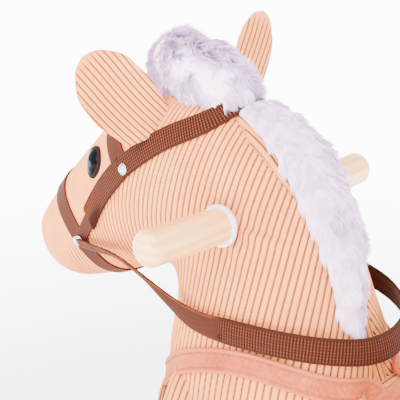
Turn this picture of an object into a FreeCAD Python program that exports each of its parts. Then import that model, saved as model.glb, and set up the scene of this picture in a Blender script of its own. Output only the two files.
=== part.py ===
import FreeCAD, Part
import math
import os

# Toddler's plush rocking horse over a wooden frame. Millimetres, +Z up, the horse faces -Y and its
# left side is +X. The origin is on the floor under the middle of the rockers.

V = FreeCAD.Vector
X_AXIS, Y_AXIS, Z_AXIS = V(1, 0, 0), V(0, 1, 0), V(0, 0, 1)
os.makedirs("parts", exist_ok=True)

# ---------------------------------------------------------------- driving dimensions
HANDLE_Y, HANDLE_Z = -51, 450        # where the handles' line crosses the neck
HANDLE_REACH = 135                   # centre plane to a handle's end
HANDLE_RADIUS = 14
HANDLE_FOOT = 57.5                   # centre plane to the foot of the grip, just off its collar
TENON_RADIUS = 12                    # the handle's thinner inner end, through cover and collar
HANDLE_ROUND = 6                     # rounding of the outer end
COLLAR_RADIUS, COLLAR_THICK = 16.5, 4
HANDLE_LIFT = 3                      # degrees that each handle rises outwards
COVER = 2.6                          # sewn corduroy with its backing
GAP = 0.3                            # soft pieces stay this far from their neighbours
STRAP = 2.4                          # webbing stands this far off the cover
STRAP_WIDTH = 20

ROCKER_HALF = 360                    # half the rockers' length
ROCKER_RADIUS = 920                  # underside arc
ROCKER_X = 105                       # centre of each board
ROCKER_THICK = 20
ROCKER_DECK = 58                     # flat top edge, where the foot boards lie
ROCKER_FLAT = 203                    # half the length of that flat
ROCKER_TIP = 34                      # height of the board at its tip

BOARD_LENGTH, BOARD_WIDTH, BOARD_THICK = 236, 78, 15
FLOOR_Z = ROCKER_DECK + BOARD_THICK  # where the hooves stand
LEG_Y = (HANDLE_Y - 46, HANDLE_Y + 212)
LEG_TOP_X, LEG_FOOT_X = 45, 70
POST_RADIUS = 12

BODY_BOARD_Z, BODY_BOARD_THICK = 228, 18
NECK_POST = (50, 60)                 # section along X and Y
SIDES = {"left": 1, "right": -1}
ENDS = {"front": LEG_Y[0], "rear": LEG_Y[1]}

# Head and neck sections from the chest to the muzzle, seen from the side and measured from the
# handles' line: front y, front z, back y, back z, half width.
NECK_SECTIONS = [
    (-85, 262, 115, 262, 74), (-82, 300, 131, 300, 74), (-78, 335, 117, 343, 70),
    (-74, 362, 101, 380, 64), (-76, 377, 86, 417, 58), (-82, 383, 69, 456, 53),
    (-90, 383, 46, 491, 50), (-101, 380, 11, 521, 51), (-114, 374, -35, 538, 53),
    (-130, 366, -87, 537, 53), (-149, 357, -133, 519, 50), (-172, 347, -177, 485, 45),
    (-197, 337, -215, 447, 41), (-222, 332, -245, 415, 36), (-245, 339, -264, 392, 27),
    (-257, 352, -269, 377, 15), (-263, 359, -269, 371, 7),
]
# Body sections from chest to rump, measured from the handles' line: y, centre z, half height, half width.
BODY_SECTIONS = [
    (-76, 250, 32, 30), (-69, 251, 54, 52), (-50, 253, 70, 67), (-12, 255, 78, 75),
    (70, 255, 80, 76), (160, 256, 80, 76), (212, 257, 78, 74), (250, 258, 68, 64),
    (270, 259, 50, 46), (278, 259, 30, 28),
]
SQUARENESS = 2.3                     # a little fuller than an ellipse


# ---------------------------------------------------------------- helpers
def export(name, *shapes):
    """Write one node, with each of its separate solids."""
    solids = [s for shape in shapes for s in shape.Solids]
    shape = solids[0] if len(solids) == 1 else Part.makeCompound(solids)
    shape.exportStep("parts/%s.step" % name)


def largest(shape):
    return max(shape.Solids, key=lambda s: s.Volume)


def superellipse(angle):
    """Distance from the centre to a unit superellipse at an angle."""
    c, s = abs(math.cos(angle)), abs(math.sin(angle))
    return (c ** SQUARENESS + s ** SQUARENESS) ** (-1 / SQUARENESS)


def skin(rows, points=12):
    """Closed solid with a smooth skin through rings, each a centre and two half axes.

    The skin is two halves that meet along the ends of the second axis, closed by flat caps. They
    mirror each other, so the centres lie in the plane of the second axes.
    """
    faces = []
    for side in (1, -1):
        grid = []
        for centre, across, along in rows:
            ring = []
            for i in range(points + 1):
                a = math.pi * i / points
                out = 0 if i in (0, points) else math.sin(a)
                ring.append(centre + (along * math.cos(a) + across * (side * out)) * superellipse(a))
            grid.append(ring)
        surface = Part.BSplineSurface()
        surface.interpolate(grid)
        faces.append(surface.toShape())
    for centre, across, along in (rows[0], rows[-1]):
        normal = across.cross(along).normalize()
        rim = [e for face in faces[:2] for e in face.Edges
               if all(abs((e.valueAt(e.FirstParameter + k * (e.LastParameter - e.FirstParameter) / 4)
                           - centre).dot(normal)) < 0.001 for k in range(5))]
        faces.append(Part.Face(Part.Wire(Part.__sortEdges__(rim))))
    sewn = Part.Compound(faces)
    sewn.sewShape(0.0001)
    shell = sewn.Shells[0]
    if Part.Solid(shell).Volume < 0:
        shell.reverse()
    return Part.Solid(shell)


def neck(grow):
    """Head and neck as one solid, grown outwards all round."""
    rows = []
    for fy, fz, by, bz, half in NECK_SECTIONS:
        front, back = V(0, fy + HANDLE_Y, fz), V(0, by + HANDLE_Y, bz)
        along = (back - front) * 0.5
        centre = front + along
        along = along * ((along.Length + grow) / along.Length)
        rows.append((centre, X_AXIS * (half + grow), along))
    muzzle = (rows[-1][0] - rows[-2][0]).normalize() * grow
    rows[-1] = (rows[-1][0] + muzzle, rows[-1][1], rows[-1][2])
    return skin(rows)


def body(grow):
    """Barrel of the body as one solid, grown outwards all round."""
    rows = []
    for i, (y, z, tall, half) in enumerate(BODY_SECTIONS):
        end = {0: -1, len(BODY_SECTIONS) - 1: 1}.get(i, 0)
        centre = V(0, y + HANDLE_Y + end * grow, z)
        rows.append((centre, X_AXIS * (half + grow), Z_AXIS * (tall + grow)))
    return skin(rows)


def box(x0, x1, y0, y1, z0, z1):
    return Part.makeBox(x1 - x0, y1 - y0, z1 - z0, V(x0, y0, z0))


def rod(start, end, radius):
    axis = end - start
    return Part.makeCylinder(radius, axis.Length, start, axis)


def ribbon(points, width, reach=150):
    """Slab across the horse whose side view is a curved band along points (y, z)."""
    line = [V(0, y + HANDLE_Y, z) for y, z in points]
    upper, lower = [], []
    for i, p in enumerate(line):
        run = line[min(i + 1, len(line) - 1)] - line[max(i - 1, 0)]
        normal = V(0, -run.z, run.y).normalize() * (width / 2)
        upper.append(p + normal)
        lower.append(p - normal)
    edges = []
    for side in (upper, lower[::-1]):
        if len(side) > 2:
            curve = Part.BSplineCurve()
            curve.interpolate(Points=side)
            edges.append(curve.toShape())
        else:
            edges.append(Part.makeLine(side[0], side[1]))
    edges.insert(1, Part.makeLine(upper[-1], lower[-1]))
    edges.append(Part.makeLine(lower[0], upper[0]))
    face = Part.Face(Part.Wire(edges))
    face.translate(V(-reach, 0, 0))
    return face.extrude(V(2 * reach, 0, 0))


def half_space(side, inner=0):
    """Everything on one side of the horse, from inner outwards."""
    x0, x1 = sorted((side * inner, side * 300))
    return box(x0, x1, -500, 500, 0, 700)


def side_x(solid, y, z):
    """How far out a solid reaches at a height and a place along the horse."""
    line = Part.makeLine(V(0, y, z), V(300, y, z))
    return line.common(solid).BoundBox.XMax


def screw(head_centre, direction, length, shank, head, head_height):
    """Pan head screw: the shank runs from the head along direction."""
    way = V(direction).normalize()
    cap = Part.makeCylinder(head, head_height, head_centre - way * head_height, way)
    return cap.fuse(Part.makeCylinder(shank, length, head_centre, way))


def dome(centre, normal, radius, height):
    """Round headed rivet or button, a cap of a sphere on a flat back."""
    ball_radius = (radius ** 2 + height ** 2) / (2 * height)
    way = V(normal).normalize()
    ball = Part.makeSphere(ball_radius, centre - way * (ball_radius - height))
    return ball.common(Part.makeCylinder(radius + 1, height + 1, centre, way))


# ---------------------------------------------------------------- wooden base
def rocker_z(y):
    return ROCKER_RADIUS - math.sqrt(ROCKER_RADIUS ** 2 - y ** 2)


def rocker(side):
    """Bow board: round underside, flat deck, and a top edge that sweeps up to a rounded tip."""
    slope = math.asin(ROCKER_HALF / ROCKER_RADIUS)
    foot_y = ROCKER_HALF - ROCKER_TIP / 2 * (1 - math.sin(slope))
    slope = math.asin(foot_y / ROCKER_RADIUS)
    foot = V(0, foot_y, rocker_z(foot_y))
    up = V(0, -math.sin(slope), math.cos(slope))
    ahead = V(0, math.cos(slope), math.sin(slope))
    tip = foot + up * ROCKER_TIP
    nose = foot + up * (ROCKER_TIP / 2) + ahead * (ROCKER_TIP / 2)
    run, rise = tip.y - ROCKER_FLAT, tip.z - ROCKER_DECK
    sweep = (run ** 2 + rise ** 2) / (2 * rise)
    middle_y = ROCKER_FLAT + run * 0.55
    middle_z = ROCKER_DECK + sweep - math.sqrt(sweep ** 2 - (middle_y - ROCKER_FLAT) ** 2)

    def mirror(p):
        return V(0, -p.y, p.z)

    deck, middle = V(0, ROCKER_FLAT, ROCKER_DECK), V(0, middle_y, middle_z)
    edges = [
        Part.Arc(mirror(foot), V(0, 0, 0), foot).toShape(),
        Part.Arc(foot, nose, tip).toShape(),
        Part.Arc(tip, middle, deck).toShape(),
        Part.makeLine(deck, mirror(deck)),
        Part.Arc(mirror(deck), mirror(middle), mirror(tip)).toShape(),
        Part.Arc(mirror(tip), mirror(nose), mirror(foot)).toShape(),
    ]
    face = Part.Face(Part.Wire(edges))
    face.translate(V(side * ROCKER_X - ROCKER_THICK / 2, 0, 0))
    board = face.extrude(V(ROCKER_THICK, 0, 0))
    rims = [e for e in board.Edges if e.BoundBox.XLength < 0.01]
    return board.makeFillet(3, rims)


def leg_axis(side, y):
    return V(side * LEG_FOOT_X, y, FLOOR_Z), V(side * LEG_TOP_X, y, BODY_BOARD_Z)


rockers = {name: rocker(side) for name, side in SIDES.items()}
foot_boards = {}
for end, y in ENDS.items():
    board = box(-BOARD_LENGTH / 2, BOARD_LENGTH / 2, y - BOARD_WIDTH / 2, y + BOARD_WIDTH / 2,
                ROCKER_DECK, FLOOR_Z)
    corners = [e for e in board.Edges if e.BoundBox.ZLength > BOARD_THICK - 1]
    board = board.makeFillet(9, corners)
    foot_boards[end] = board.makeFillet(2, [e for e in board.Edges if e.BoundBox.ZLength < 0.1])

# Screws come down through the foot boards into the rockers, outside the hooves.
board_screws = []
for end, y in ENDS.items():
    for side in SIDES.values():
        for dy in (-28, 28):
            head = V(side * (ROCKER_X + 1), y + dy, FLOOR_Z)
            screw_solid = screw(head, V(0, 0, -1), 34, 2, 4, 1.6)
            board_screws.append(screw_solid)
            foot_boards[end] = foot_boards[end].cut(screw_solid)
            name = "left" if side > 0 else "right"
            rockers[name] = rockers[name].cut(screw_solid)

stretcher_y = (LEG_Y[0] + LEG_Y[1]) / 2 - 10
stretcher_z = ROCKER_DECK - 20
inner_face = ROCKER_X - ROCKER_THICK / 2
stretcher = rod(V(-inner_face, stretcher_y, stretcher_z), V(inner_face, stretcher_y, stretcher_z), 11)
stretcher_bolts = []
for name, side in SIDES.items():
    head = V(side * (ROCKER_X + ROCKER_THICK / 2), stretcher_y, stretcher_z)
    bolt = screw(head, V(-side, 0, 0), 60, 3, 7, 3)
    stretcher_bolts.append(bolt)
    rockers[name] = rockers[name].cut(bolt)
    stretcher = stretcher.cut(bolt)

# ---------------------------------------------------------------- inner frame
leg_posts, leg_bolts, leg_washers, post_screws = [], [], [], []
board_ends = (HANDLE_Y - 66, HANDLE_Y + 240)
body_board = box(-58, 58, board_ends[0], board_ends[1], BODY_BOARD_Z, BODY_BOARD_Z + BODY_BOARD_THICK)
body_board = body_board.makeFillet(18, [e for e in body_board.Edges if e.BoundBox.ZLength > 17])
for end, y in ENDS.items():
    for side in SIDES.values():
        foot, top = leg_axis(side, y)
        lean = (top - foot).normalize()
        post = rod(foot - lean * 20, top + lean * 20, POST_RADIUS)
        post = post.common(box(-150, 150, y - 50, y + 50, FLOOR_Z, BODY_BOARD_Z))
        bolt = screw(V(foot.x, y, ROCKER_DECK - 2), lean, 60, 3, 6.5, 4.5)
        washer = Part.makeCylinder(9, 2, V(foot.x, y, ROCKER_DECK - 2), Z_AXIS).cut(bolt)
        bolt = bolt.common(box(-150, 150, y - 50, y + 50, 0, BODY_BOARD_Z))
        pin = screw(V(top.x, y, BODY_BOARD_Z + BODY_BOARD_THICK), V(0, 0, -1), 50, 2.5, 5, 2)
        foot_boards[end] = foot_boards[end].cut(bolt)
        body_board = body_board.cut(pin)
        leg_posts.append(post.cut(bolt).cut(pin))
        leg_bolts.append(bolt)
        leg_washers.append(washer)
        post_screws.append(pin)

post_top = HANDLE_Z + 34
neck_post = box(-NECK_POST[0] / 2, NECK_POST[0] / 2, HANDLE_Y - NECK_POST[1] / 2,
                HANDLE_Y + NECK_POST[1] / 2, BODY_BOARD_Z + BODY_BOARD_THICK, post_top)
neck_post = neck_post.makeFillet(6, [e for e in neck_post.Edges if e.BoundBox.ZLength > 100])
neck_screws = []
for dy in (-17, 17):
    pin = screw(V(0, HANDLE_Y + dy, BODY_BOARD_Z), Z_AXIS, 75, 3, 6, 2.5)
    neck_screws.append(pin)
    body_board = body_board.cut(pin)
    neck_post = neck_post.cut(pin)

# ---------------------------------------------------------------- handles
cover_outer = neck(0)
handles, collars, hanger_bolts, handle_bores = {}, {}, [], []
for name, side in SIDES.items():
    lift = math.radians(HANDLE_LIFT)
    way = V(side * math.cos(lift), 0, math.sin(lift))
    origin = V(0, HANDLE_Y, HANDLE_Z - 2)
    foot, end = origin + way * HANDLE_FOOT, origin + way * HANDLE_REACH
    grip = rod(foot, end, HANDLE_RADIUS)
    outer_rim = [e for e in grip.Edges if e.BoundBox.ZLength > HANDLE_RADIUS
                 and (e.BoundBox.Center - end).Length < 2]
    grip = grip.makeFillet(HANDLE_ROUND, outer_rim)
    tenon = rod(origin, foot + way, TENON_RADIUS)
    dowel = tenon.cut(box(-NECK_POST[0] / 2, NECK_POST[0] / 2, -200, 200, 0, 700)).fuse(grip)
    bolt = rod(origin + way * 6, origin + way * 72, 4)
    hanger_bolts.append(bolt)
    neck_post = neck_post.cut(bolt)
    handles[name] = largest(dowel.cut(bolt))
    collar = Part.makeCylinder(COLLAR_RADIUS, COLLAR_THICK, foot - way * (COLLAR_THICK + 0.5), way)
    collar = collar.makeFillet(1.2, [e for e in collar.Edges if e.BoundBox.ZLength > 30])
    collars[name] = collar.cut(rod(origin + way * 40, end, TENON_RADIUS))
    handle_bores.append(rod(origin + way * 20, origin + way * 100, TENON_RADIUS + GAP))

# ---------------------------------------------------------------- covers and stuffing
def hollow_for(shape, tools):
    for tool in tools:
        shape = shape.cut(tool)
    return shape


frame_wood = [neck_post] + handle_bores + list(collars.values())
body_grown = body(GAP)
neck_clear = neck(GAP)
head_neck_cover = cover_outer.cut(neck(-COVER)).cut(body_grown)
head_neck_cover = largest(hollow_for(head_neck_cover, handle_bores + list(collars.values())))
head_neck_stuffing = neck(-COVER - GAP).cut(body_grown)
head_neck_stuffing = largest(hollow_for(head_neck_stuffing, frame_wood + hanger_bolts))

leg_posts_grown = []
for end, y in ENDS.items():
    for side in SIDES.values():
        foot, top = leg_axis(side, y)
        leg_posts_grown.append(rod(foot, foot + (top - foot) * 1.05, POST_RADIUS + GAP))
post_hole = box(-NECK_POST[0] / 2, NECK_POST[0] / 2, HANDLE_Y - NECK_POST[1] / 2,
                HANDLE_Y + NECK_POST[1] / 2, BODY_BOARD_Z, post_top)
torso_cover = body(0).cut(body(-COVER))
torso_cover = largest(hollow_for(torso_cover, leg_posts_grown + [post_hole]))
inside = leg_posts_grown + [post_hole, body_board] + post_screws + neck_screws
torso_stuffing = hollow_for(body(-COVER - GAP), inside)
torso_stuffing = largest(torso_stuffing)

# ---------------------------------------------------------------- legs and hooves
LEG_SECTIONS = [(0.05, 28), (0.25, 29), (0.5, 31), (0.75, 36), (1.0, 41), (1.12, 42)]
HOOF_HEIGHT, HOOF_FOOT_RADIUS, HOOF_TOP_RADIUS = 38, 35, 30


def leg_solid(side, y):
    """Padded leg that flares into the body."""
    foot, top = leg_axis(side, y)
    rings = []
    for share, radius in LEG_SECTIONS:
        centre = foot + (top - foot) * share
        rings.append((centre, Y_AXIS * radius, X_AXIS * radius))
    return skin(rings, 8)


def hoof_solid(side, y):
    foot, top = leg_axis(side, y)
    lean = (top - foot) * (HOOF_HEIGHT / (top.z - foot.z))
    rings = []
    for share, radius in ((0, HOOF_FOOT_RADIUS - 2), (0.12, HOOF_FOOT_RADIUS), (0.6, 33.5),
                          (1, HOOF_TOP_RADIUS)):
        centre = foot + lean * share
        rings.append((centre, Y_AXIS * radius, X_AXIS * radius))
    return skin(rings, 8)


hoof_lid = FLOOR_Z + HOOF_HEIGHT + GAP
legs, hooves = {}, {}
for end, y in ENDS.items():
    for name, side in SIDES.items():
        foot, top = leg_axis(side, y)
        post = rod(foot - (top - foot) * 0.1, top, POST_RADIUS + GAP)
        leg = leg_solid(side, y).cut(box(-200, 200, y - 90, y + 90, 0, hoof_lid))
        leg = leg.cut(body_grown).cut(post)
        mirror_gap = box(-GAP, GAP, y - 90, y + 90, 0, 300)
        legs["%s_%s_leg" % (end, name)] = largest(leg.cut(mirror_gap))
        hooves["%s_%s_hoof" % (end, name)] = largest(hoof_solid(side, y).cut(post))

# ---------------------------------------------------------------- bridle
strap_shell = neck(GAP + STRAP).cut(neck_clear)
UPPER_RIVET = (-110, 473)            # on the cheek, below the ear
BIT_RIVET = (-178, 390)              # at the corner of the mouth
CROWN_LINE = [UPPER_RIVET, (-72, 501), (-47, 514), (-25, 524), (-13, 550)]
BROW_LINE = [UPPER_RIVET, (-137, 499), (-158, 522), (-166, 540)]
CHEEK_LINE = [UPPER_RIVET, (-141, 440), (-165, 406), BIT_RIVET]
NOSE_LINE = [BIT_RIVET, (-202, 415), (-232, 441), (-251, 452)]
CHIN_LINE = [BIT_RIVET, (-161, 369), (-147, 350), (-138, 334)]

crown = ribbon(CROWN_LINE, STRAP_WIDTH - 2)
brow = ribbon(BROW_LINE, STRAP_WIDTH)
cheek = ribbon(CHEEK_LINE, STRAP_WIDTH)
nose = ribbon(NOSE_LINE, STRAP_WIDTH)
chin = ribbon(CHIN_LINE, STRAP_WIDTH)


def joint_disc(at, radius=STRAP_WIDTH / 2 + 1):
    """Round stack of strap ends under a rivet, right across the horse."""
    y, z = at[0] + HANDLE_Y, at[1]
    return rod(V(-150, y, z), V(150, y, z), radius)


upper_disc, bit_disc = joint_disc(UPPER_RIVET), joint_disc(BIT_RIVET)
crown_strap = strap_shell.common(crown)
browband = strap_shell.common(brow).cut(upper_disc).cut(crown).cut(cheek)
cheek_pair = strap_shell.common(cheek).cut(upper_disc).cut(crown)
noseband = strap_shell.common(nose).cut(bit_disc).cut(cheek)
chin_strap = strap_shell.common(chin).cut(bit_disc).cut(nose).cut(cheek)
cheek_straps = {name: largest(cheek_pair.common(half_space(side))) for name, side in SIDES.items()}

rivets = {"brow_rivets": [], "bit_rivets": []}
strap_top = neck(GAP + STRAP)
for node, at in (("brow_rivets", UPPER_RIVET), ("bit_rivets", BIT_RIVET)):
    for side in SIDES.values():
        y, z = at[0] + HANDLE_Y, at[1]
        seat = V(side * (side_x(strap_top, y, z) + 0.4), y, z)
        button = dome(seat, V(side, -0.1, 0.12), 4.8, 2.4)
        rivets[node].append(button.cut(strap_top))

# ---------------------------------------------------------------- ears
EAR_BASE, EAR_WIDE, EAR_THICK = 54, 57, 8


def ear(base, tip, facing, width=1.0):
    """Flat padded leaf from its base to its tip, turned so that its face looks along facing."""
    along = tip - base
    length = along.Length
    along.normalize()
    normal = (facing - along * facing.dot(along)).normalize()
    across = along.cross(normal)
    half, widest = EAR_BASE / 2 * width, EAR_WIDE / 2 * width
    outline = [(-half, -10), (-widest, length * 0.35), (-widest * 0.94, length * 0.68),
               (-widest * 0.5, length * 0.93), (0, length), (widest * 0.5, length * 0.93),
               (widest * 0.94, length * 0.68), (widest, length * 0.35), (half, -10)]
    points = [base + across * u + along * v - normal * (EAR_THICK / 2) for u, v in outline]
    curve = Part.BSplineCurve()
    curve.interpolate(Points=points)
    wire = Part.Wire([curve.toShape(), Part.makeLine(points[-1], points[0])])
    leaf = Part.Face(wire).extrude(normal * EAR_THICK)
    return leaf.makeFillet(3, [e for e in leaf.Edges if e.Length > length])


ear_cutters = [strap_top, crown, upper_disc]
ear_left = ear(V(42, HANDLE_Y - 80, 506), V(76, HANDLE_Y - 120, 567), V(0.55, 0.62, 0.2))
ear_left = largest(hollow_for(ear_left, ear_cutters))
ear_right = ear(V(-40, HANDLE_Y - 60, 520), V(-80, HANDLE_Y - 70, 592), V(-0.35, 0.95, 0), 0.9)
ear_right = largest(hollow_for(ear_right, ear_cutters))

# ---------------------------------------------------------------- eyes
EYE = (-154, 468)
eyes, eye_rims = {}, []
for name, side in SIDES.items():
    y, z = EYE[0] + HANDLE_Y, EYE[1]
    seat = side * side_x(cover_outer, y, z)
    pebble = Part.makeSphere(1)
    shape = FreeCAD.Matrix()
    shape.scale(V(6.5, 7, 11))
    shape.rotateX(math.radians(-12))
    shape.rotateZ(math.radians(side * 20))
    pebble = pebble.transformGeometry(shape)
    pebble.translate(V(seat, y, z))
    rim_ball = Part.makeSphere(1)
    rim_scale = FreeCAD.Matrix()
    rim_scale.scale(V(5, 9, 14))
    rim_scale.rotateX(math.radians(-12))
    rim_ball = rim_ball.transformGeometry(rim_scale)
    rim_ball.translate(V(seat, y, z))
    rim = neck(GAP + 1.2).cut(neck_clear).common(rim_ball)
    rim = rim.common(half_space(side, 5)).cut(pebble)
    eye_rims.append(largest(rim))
    eyes[name] = largest(pebble.cut(neck_clear))

# ---------------------------------------------------------------- forelock, mane and tail
puff = Part.makeSphere(1)
puff_shape = FreeCAD.Matrix()
puff_shape.scale(V(34, 64, 34))
puff_shape.rotateX(math.radians(6))
puff = puff.transformGeometry(puff_shape)
puff.translate(V(0, HANDLE_Y - 64, 548))
forelock = hollow_for(puff, [strap_top, crown, ear_left, ear_right])
forelock = largest(forelock)

mane_outline = [(-4, 545), (28, 540), (62, 512), (88, 470), (101, 425), (103, 390), (60, 390),
                (20, 470), (-12, 500)]
mane_points = [V(0, y + HANDLE_Y, z) for y, z in mane_outline]
mane_slab = Part.Face(Part.makePolygon(mane_points + mane_points[:1]))
mane_slab.translate(V(-13, 0, 0))
mane_slab = mane_slab.extrude(V(35, 0, 0))
mane = neck(12).cut(neck_clear).common(mane_slab).cut(crown).cut(forelock)
mane = largest(mane)

# ---------------------------------------------------------------- breast strap and saddle
BREAST_WIDTH = 19
BREAST_LINE = [(-110, 264), (-80, 282), (-40, 321), (5, 345), (40, 353), (75, 351), (104, 344),
               (134, 337)]
BREAST_END_X = 13                    # the strap's two ends stay this far off the middle of the back
soft_body = neck_clear.fuse(body_grown)
breast_shell = neck(GAP + STRAP).fuse(body(GAP + STRAP)).cut(soft_body)
breast_ribbon = ribbon(BREAST_LINE, BREAST_WIDTH)
breast_strap = breast_shell.common(breast_ribbon)
SADDLE = (HANDLE_Y + 127, HANDLE_Y + 248)      # front and rear ends
breast_strap = breast_strap.cut(box(-200, 200, SADDLE[0] - GAP, 300, 0, 700))
between_ends = box(-BREAST_END_X, BREAST_END_X, HANDLE_Y + 60, 300, 300, 400)
breast_strap = largest(breast_strap.cut(between_ends))

SKIRT_BOTTOM = 226
skirt_shell = body(GAP + 3).cut(body_grown).cut(neck_clear)
skirt_zone = box(-200, 200, SADDLE[0], SADDLE[1], SKIRT_BOTTOM, 400)
skirt_corners = [e for e in skirt_zone.Edges
                 if e.BoundBox.XLength > 300 and e.BoundBox.ZMax < SKIRT_BOTTOM + 1]
skirt_zone = skirt_zone.makeFillet(30, skirt_corners)
saddle_skirt = skirt_shell.common(skirt_zone).cut(breast_ribbon)
saddle_skirt = largest(saddle_skirt)
skirt_room = body(GAP * 2 + 3).common(box(-200, 200, SADDLE[0] - GAP, SADDLE[1] + GAP,
                                          SKIRT_BOTTOM - GAP, 400))
for name in SIDES:
    legs["rear_%s_leg" % name] = largest(legs["rear_%s_leg" % name].cut(skirt_room))

# Padded seat from pommel to cantle: y, centre z, half height, half width.
SEAT_SECTIONS = [(129, 341, 6, 28), (137, 344, 10, 42), (153, 342, 11, 49), (178, 340, 11, 52),
                 (205, 342, 13, 53), (226, 349, 18, 50), (240, 353, 17, 42), (247, 351, 9, 28)]
seat_rows = [(V(0, y + HANDLE_Y, z), X_AXIS * half, Z_AXIS * tall)
             for y, z, tall, half in SEAT_SECTIONS]
seat_block = skin(seat_rows)
saddle_seat = largest(seat_block.cut(body(GAP * 2 + 3)).cut(neck_clear).cut(breast_ribbon))

GIRTH_Y = HANDLE_Y + 158
girth_zone = box(-200, 200, GIRTH_Y - 12, GIRTH_Y + 12, 100, SKIRT_BOTTOM - GAP)
girth_strap = largest(body(GAP + STRAP).cut(body_grown).common(girth_zone))
buckle_z = 196
buckle_x = side_x(body(GAP + STRAP), GIRTH_Y, buckle_z)
tilt = 38
buckle = box(-2, 2, -16, 16, -12, 12).cut(box(-3, 3, -11.5, 11.5, -7.5, 7.5))
buckle = buckle.fuse(rod(V(0, -12, 0), V(0, 12, 0), 1.8))
buckle.rotate(V(0, 0, 0), Y_AXIS, tilt)
buckle.translate(V(buckle_x + 3.2, GIRTH_Y, buckle_z - 1))
girth_buckle = largest(buckle.cut(body(GAP + STRAP)))

# ---------------------------------------------------------------- stirrups
# Each strap hangs on a rivet through the skirt and swings along the horse; its lower end is a loop
# round the bar of a stirrup, which swings in and out.
HANG_Y, HANG_Z = HANDLE_Y + 138, 243
STRAP_DROP = 72                      # rivet to the stirrup's bar
STIRRUP_STRAP_WIDTH, PIN_RADIUS, RUNNING_GAP = 18, 2.0, 0.08
BAR_Z = HANG_Z - STRAP_DROP
TREAD_Z = BAR_Z - 58
skirt_solid = body(GAP + 3)
skirt_x = side_x(skirt_solid, HANG_Y, 256)
STRAP_X = skirt_x + 0.6 + STRAP / 2  # middle of the strap's thickness
print("stirrup strap at x = %.2f mm" % STRAP_X)
stirrup_rivets, stirrup_straps, stirrups = [], {}, {}
for name, side in SIDES.items():
    x = side * STRAP_X
    half = STIRRUP_STRAP_WIDTH / 2
    face = x + side * STRAP / 2

    def pin_along_x(radius, x0, x1):
        return rod(V(x0, HANG_Y, HANG_Z), V(x1, HANG_Y, HANG_Z), radius)

    cap = dome(V(face + side * 0.4, HANG_Y, HANG_Z), V(side, 0, 0), 5, 2.4)
    rivet = cap.fuse(pin_along_x(PIN_RADIUS, side * 60, face + side * 0.5))
    stirrup_rivets.append(largest(rivet.cut(skirt_solid)))

    strap = box(x - STRAP / 2, x + STRAP / 2, HANG_Y - half, HANG_Y + half, BAR_Z, HANG_Z)
    strap = strap.fuse(pin_along_x(half, x - STRAP / 2, x + STRAP / 2))
    loop_start, loop_end = V(x, HANG_Y - half, BAR_Z), V(x, HANG_Y + half, BAR_Z)
    strap = strap.fuse(rod(loop_start, loop_end, PIN_RADIUS + STRAP))
    bore = rod(V(x, HANG_Y - 30, BAR_Z), V(x, HANG_Y + 30, BAR_Z), PIN_RADIUS + RUNNING_GAP)
    strap = strap.cut(bore).cut(pin_along_x(PIN_RADIUS + RUNNING_GAP, x - 10, x + 10))
    stirrup_straps[name] = strap

    # Hoop in the plane across the horse, so that a foot goes in along the horse.
    hoop_foot, shoulder = V(x - 24, HANG_Y, TREAD_Z), V(x - 24, HANG_Y, BAR_Z - 22)
    far_shoulder, far_foot = V(x + 24, HANG_Y, BAR_Z - 22), V(x + 24, HANG_Y, TREAD_Z)
    hoop_wire = Part.Wire([
        Part.makeLine(hoop_foot, shoulder),
        Part.Arc(shoulder, V(x, HANG_Y, BAR_Z - 9), far_shoulder).toShape(),
        Part.makeLine(far_shoulder, far_foot),
    ])
    section = Part.Wire(Part.makeCircle(3.4, hoop_foot, Z_AXIS))
    hoop = hoop_wire.makePipeShell([section], True, False)
    tread = box(x - 29, x + 29, HANG_Y - 14, HANG_Y + 14, TREAD_Z - 5, TREAD_Z + 1)
    tread = tread.makeFillet(2.4, tread.Edges)
    bar = rod(V(x, HANG_Y - 12, BAR_Z), V(x, HANG_Y + 12, BAR_Z), PIN_RADIUS)
    lugs = [box(x - 3, x + 3, *sorted((HANG_Y + end * 9.6, HANG_Y + end * 13)), BAR_Z - 12, BAR_Z + 3)
            for end in (-1, 1)]
    bridge = box(x - 3, x + 3, HANG_Y - 13, HANG_Y + 13, BAR_Z - 12, BAR_Z - 6)
    stirrups[name] = largest(hoop.fuse([tread, bar, bridge] + lugs))

# ---------------------------------------------------------------- tail
# Its root is round about the seam that it swings on: y from the handles' line, z, radius.
TAIL_LINE = [(291, 295, 5), (292, 290, 8), (296, 279, 12), (302, 258, 17), (306, 222, 20),
             (305, 180, 18), (300, 142, 12), (297, 120, 4)]
tail = skin([(V(0, y + HANDLE_Y, z), X_AXIS * radius, Y_AXIS * radius)
             for y, z, radius in TAIL_LINE], 8)
tail_root = V(0, HANDLE_Y + TAIL_LINE[1][0], TAIL_LINE[1][1])
tail = tail.fuse(rod(tail_root - X_AXIS * 11, tail_root + X_AXIS * 11, TAIL_LINE[1][2]))

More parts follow.
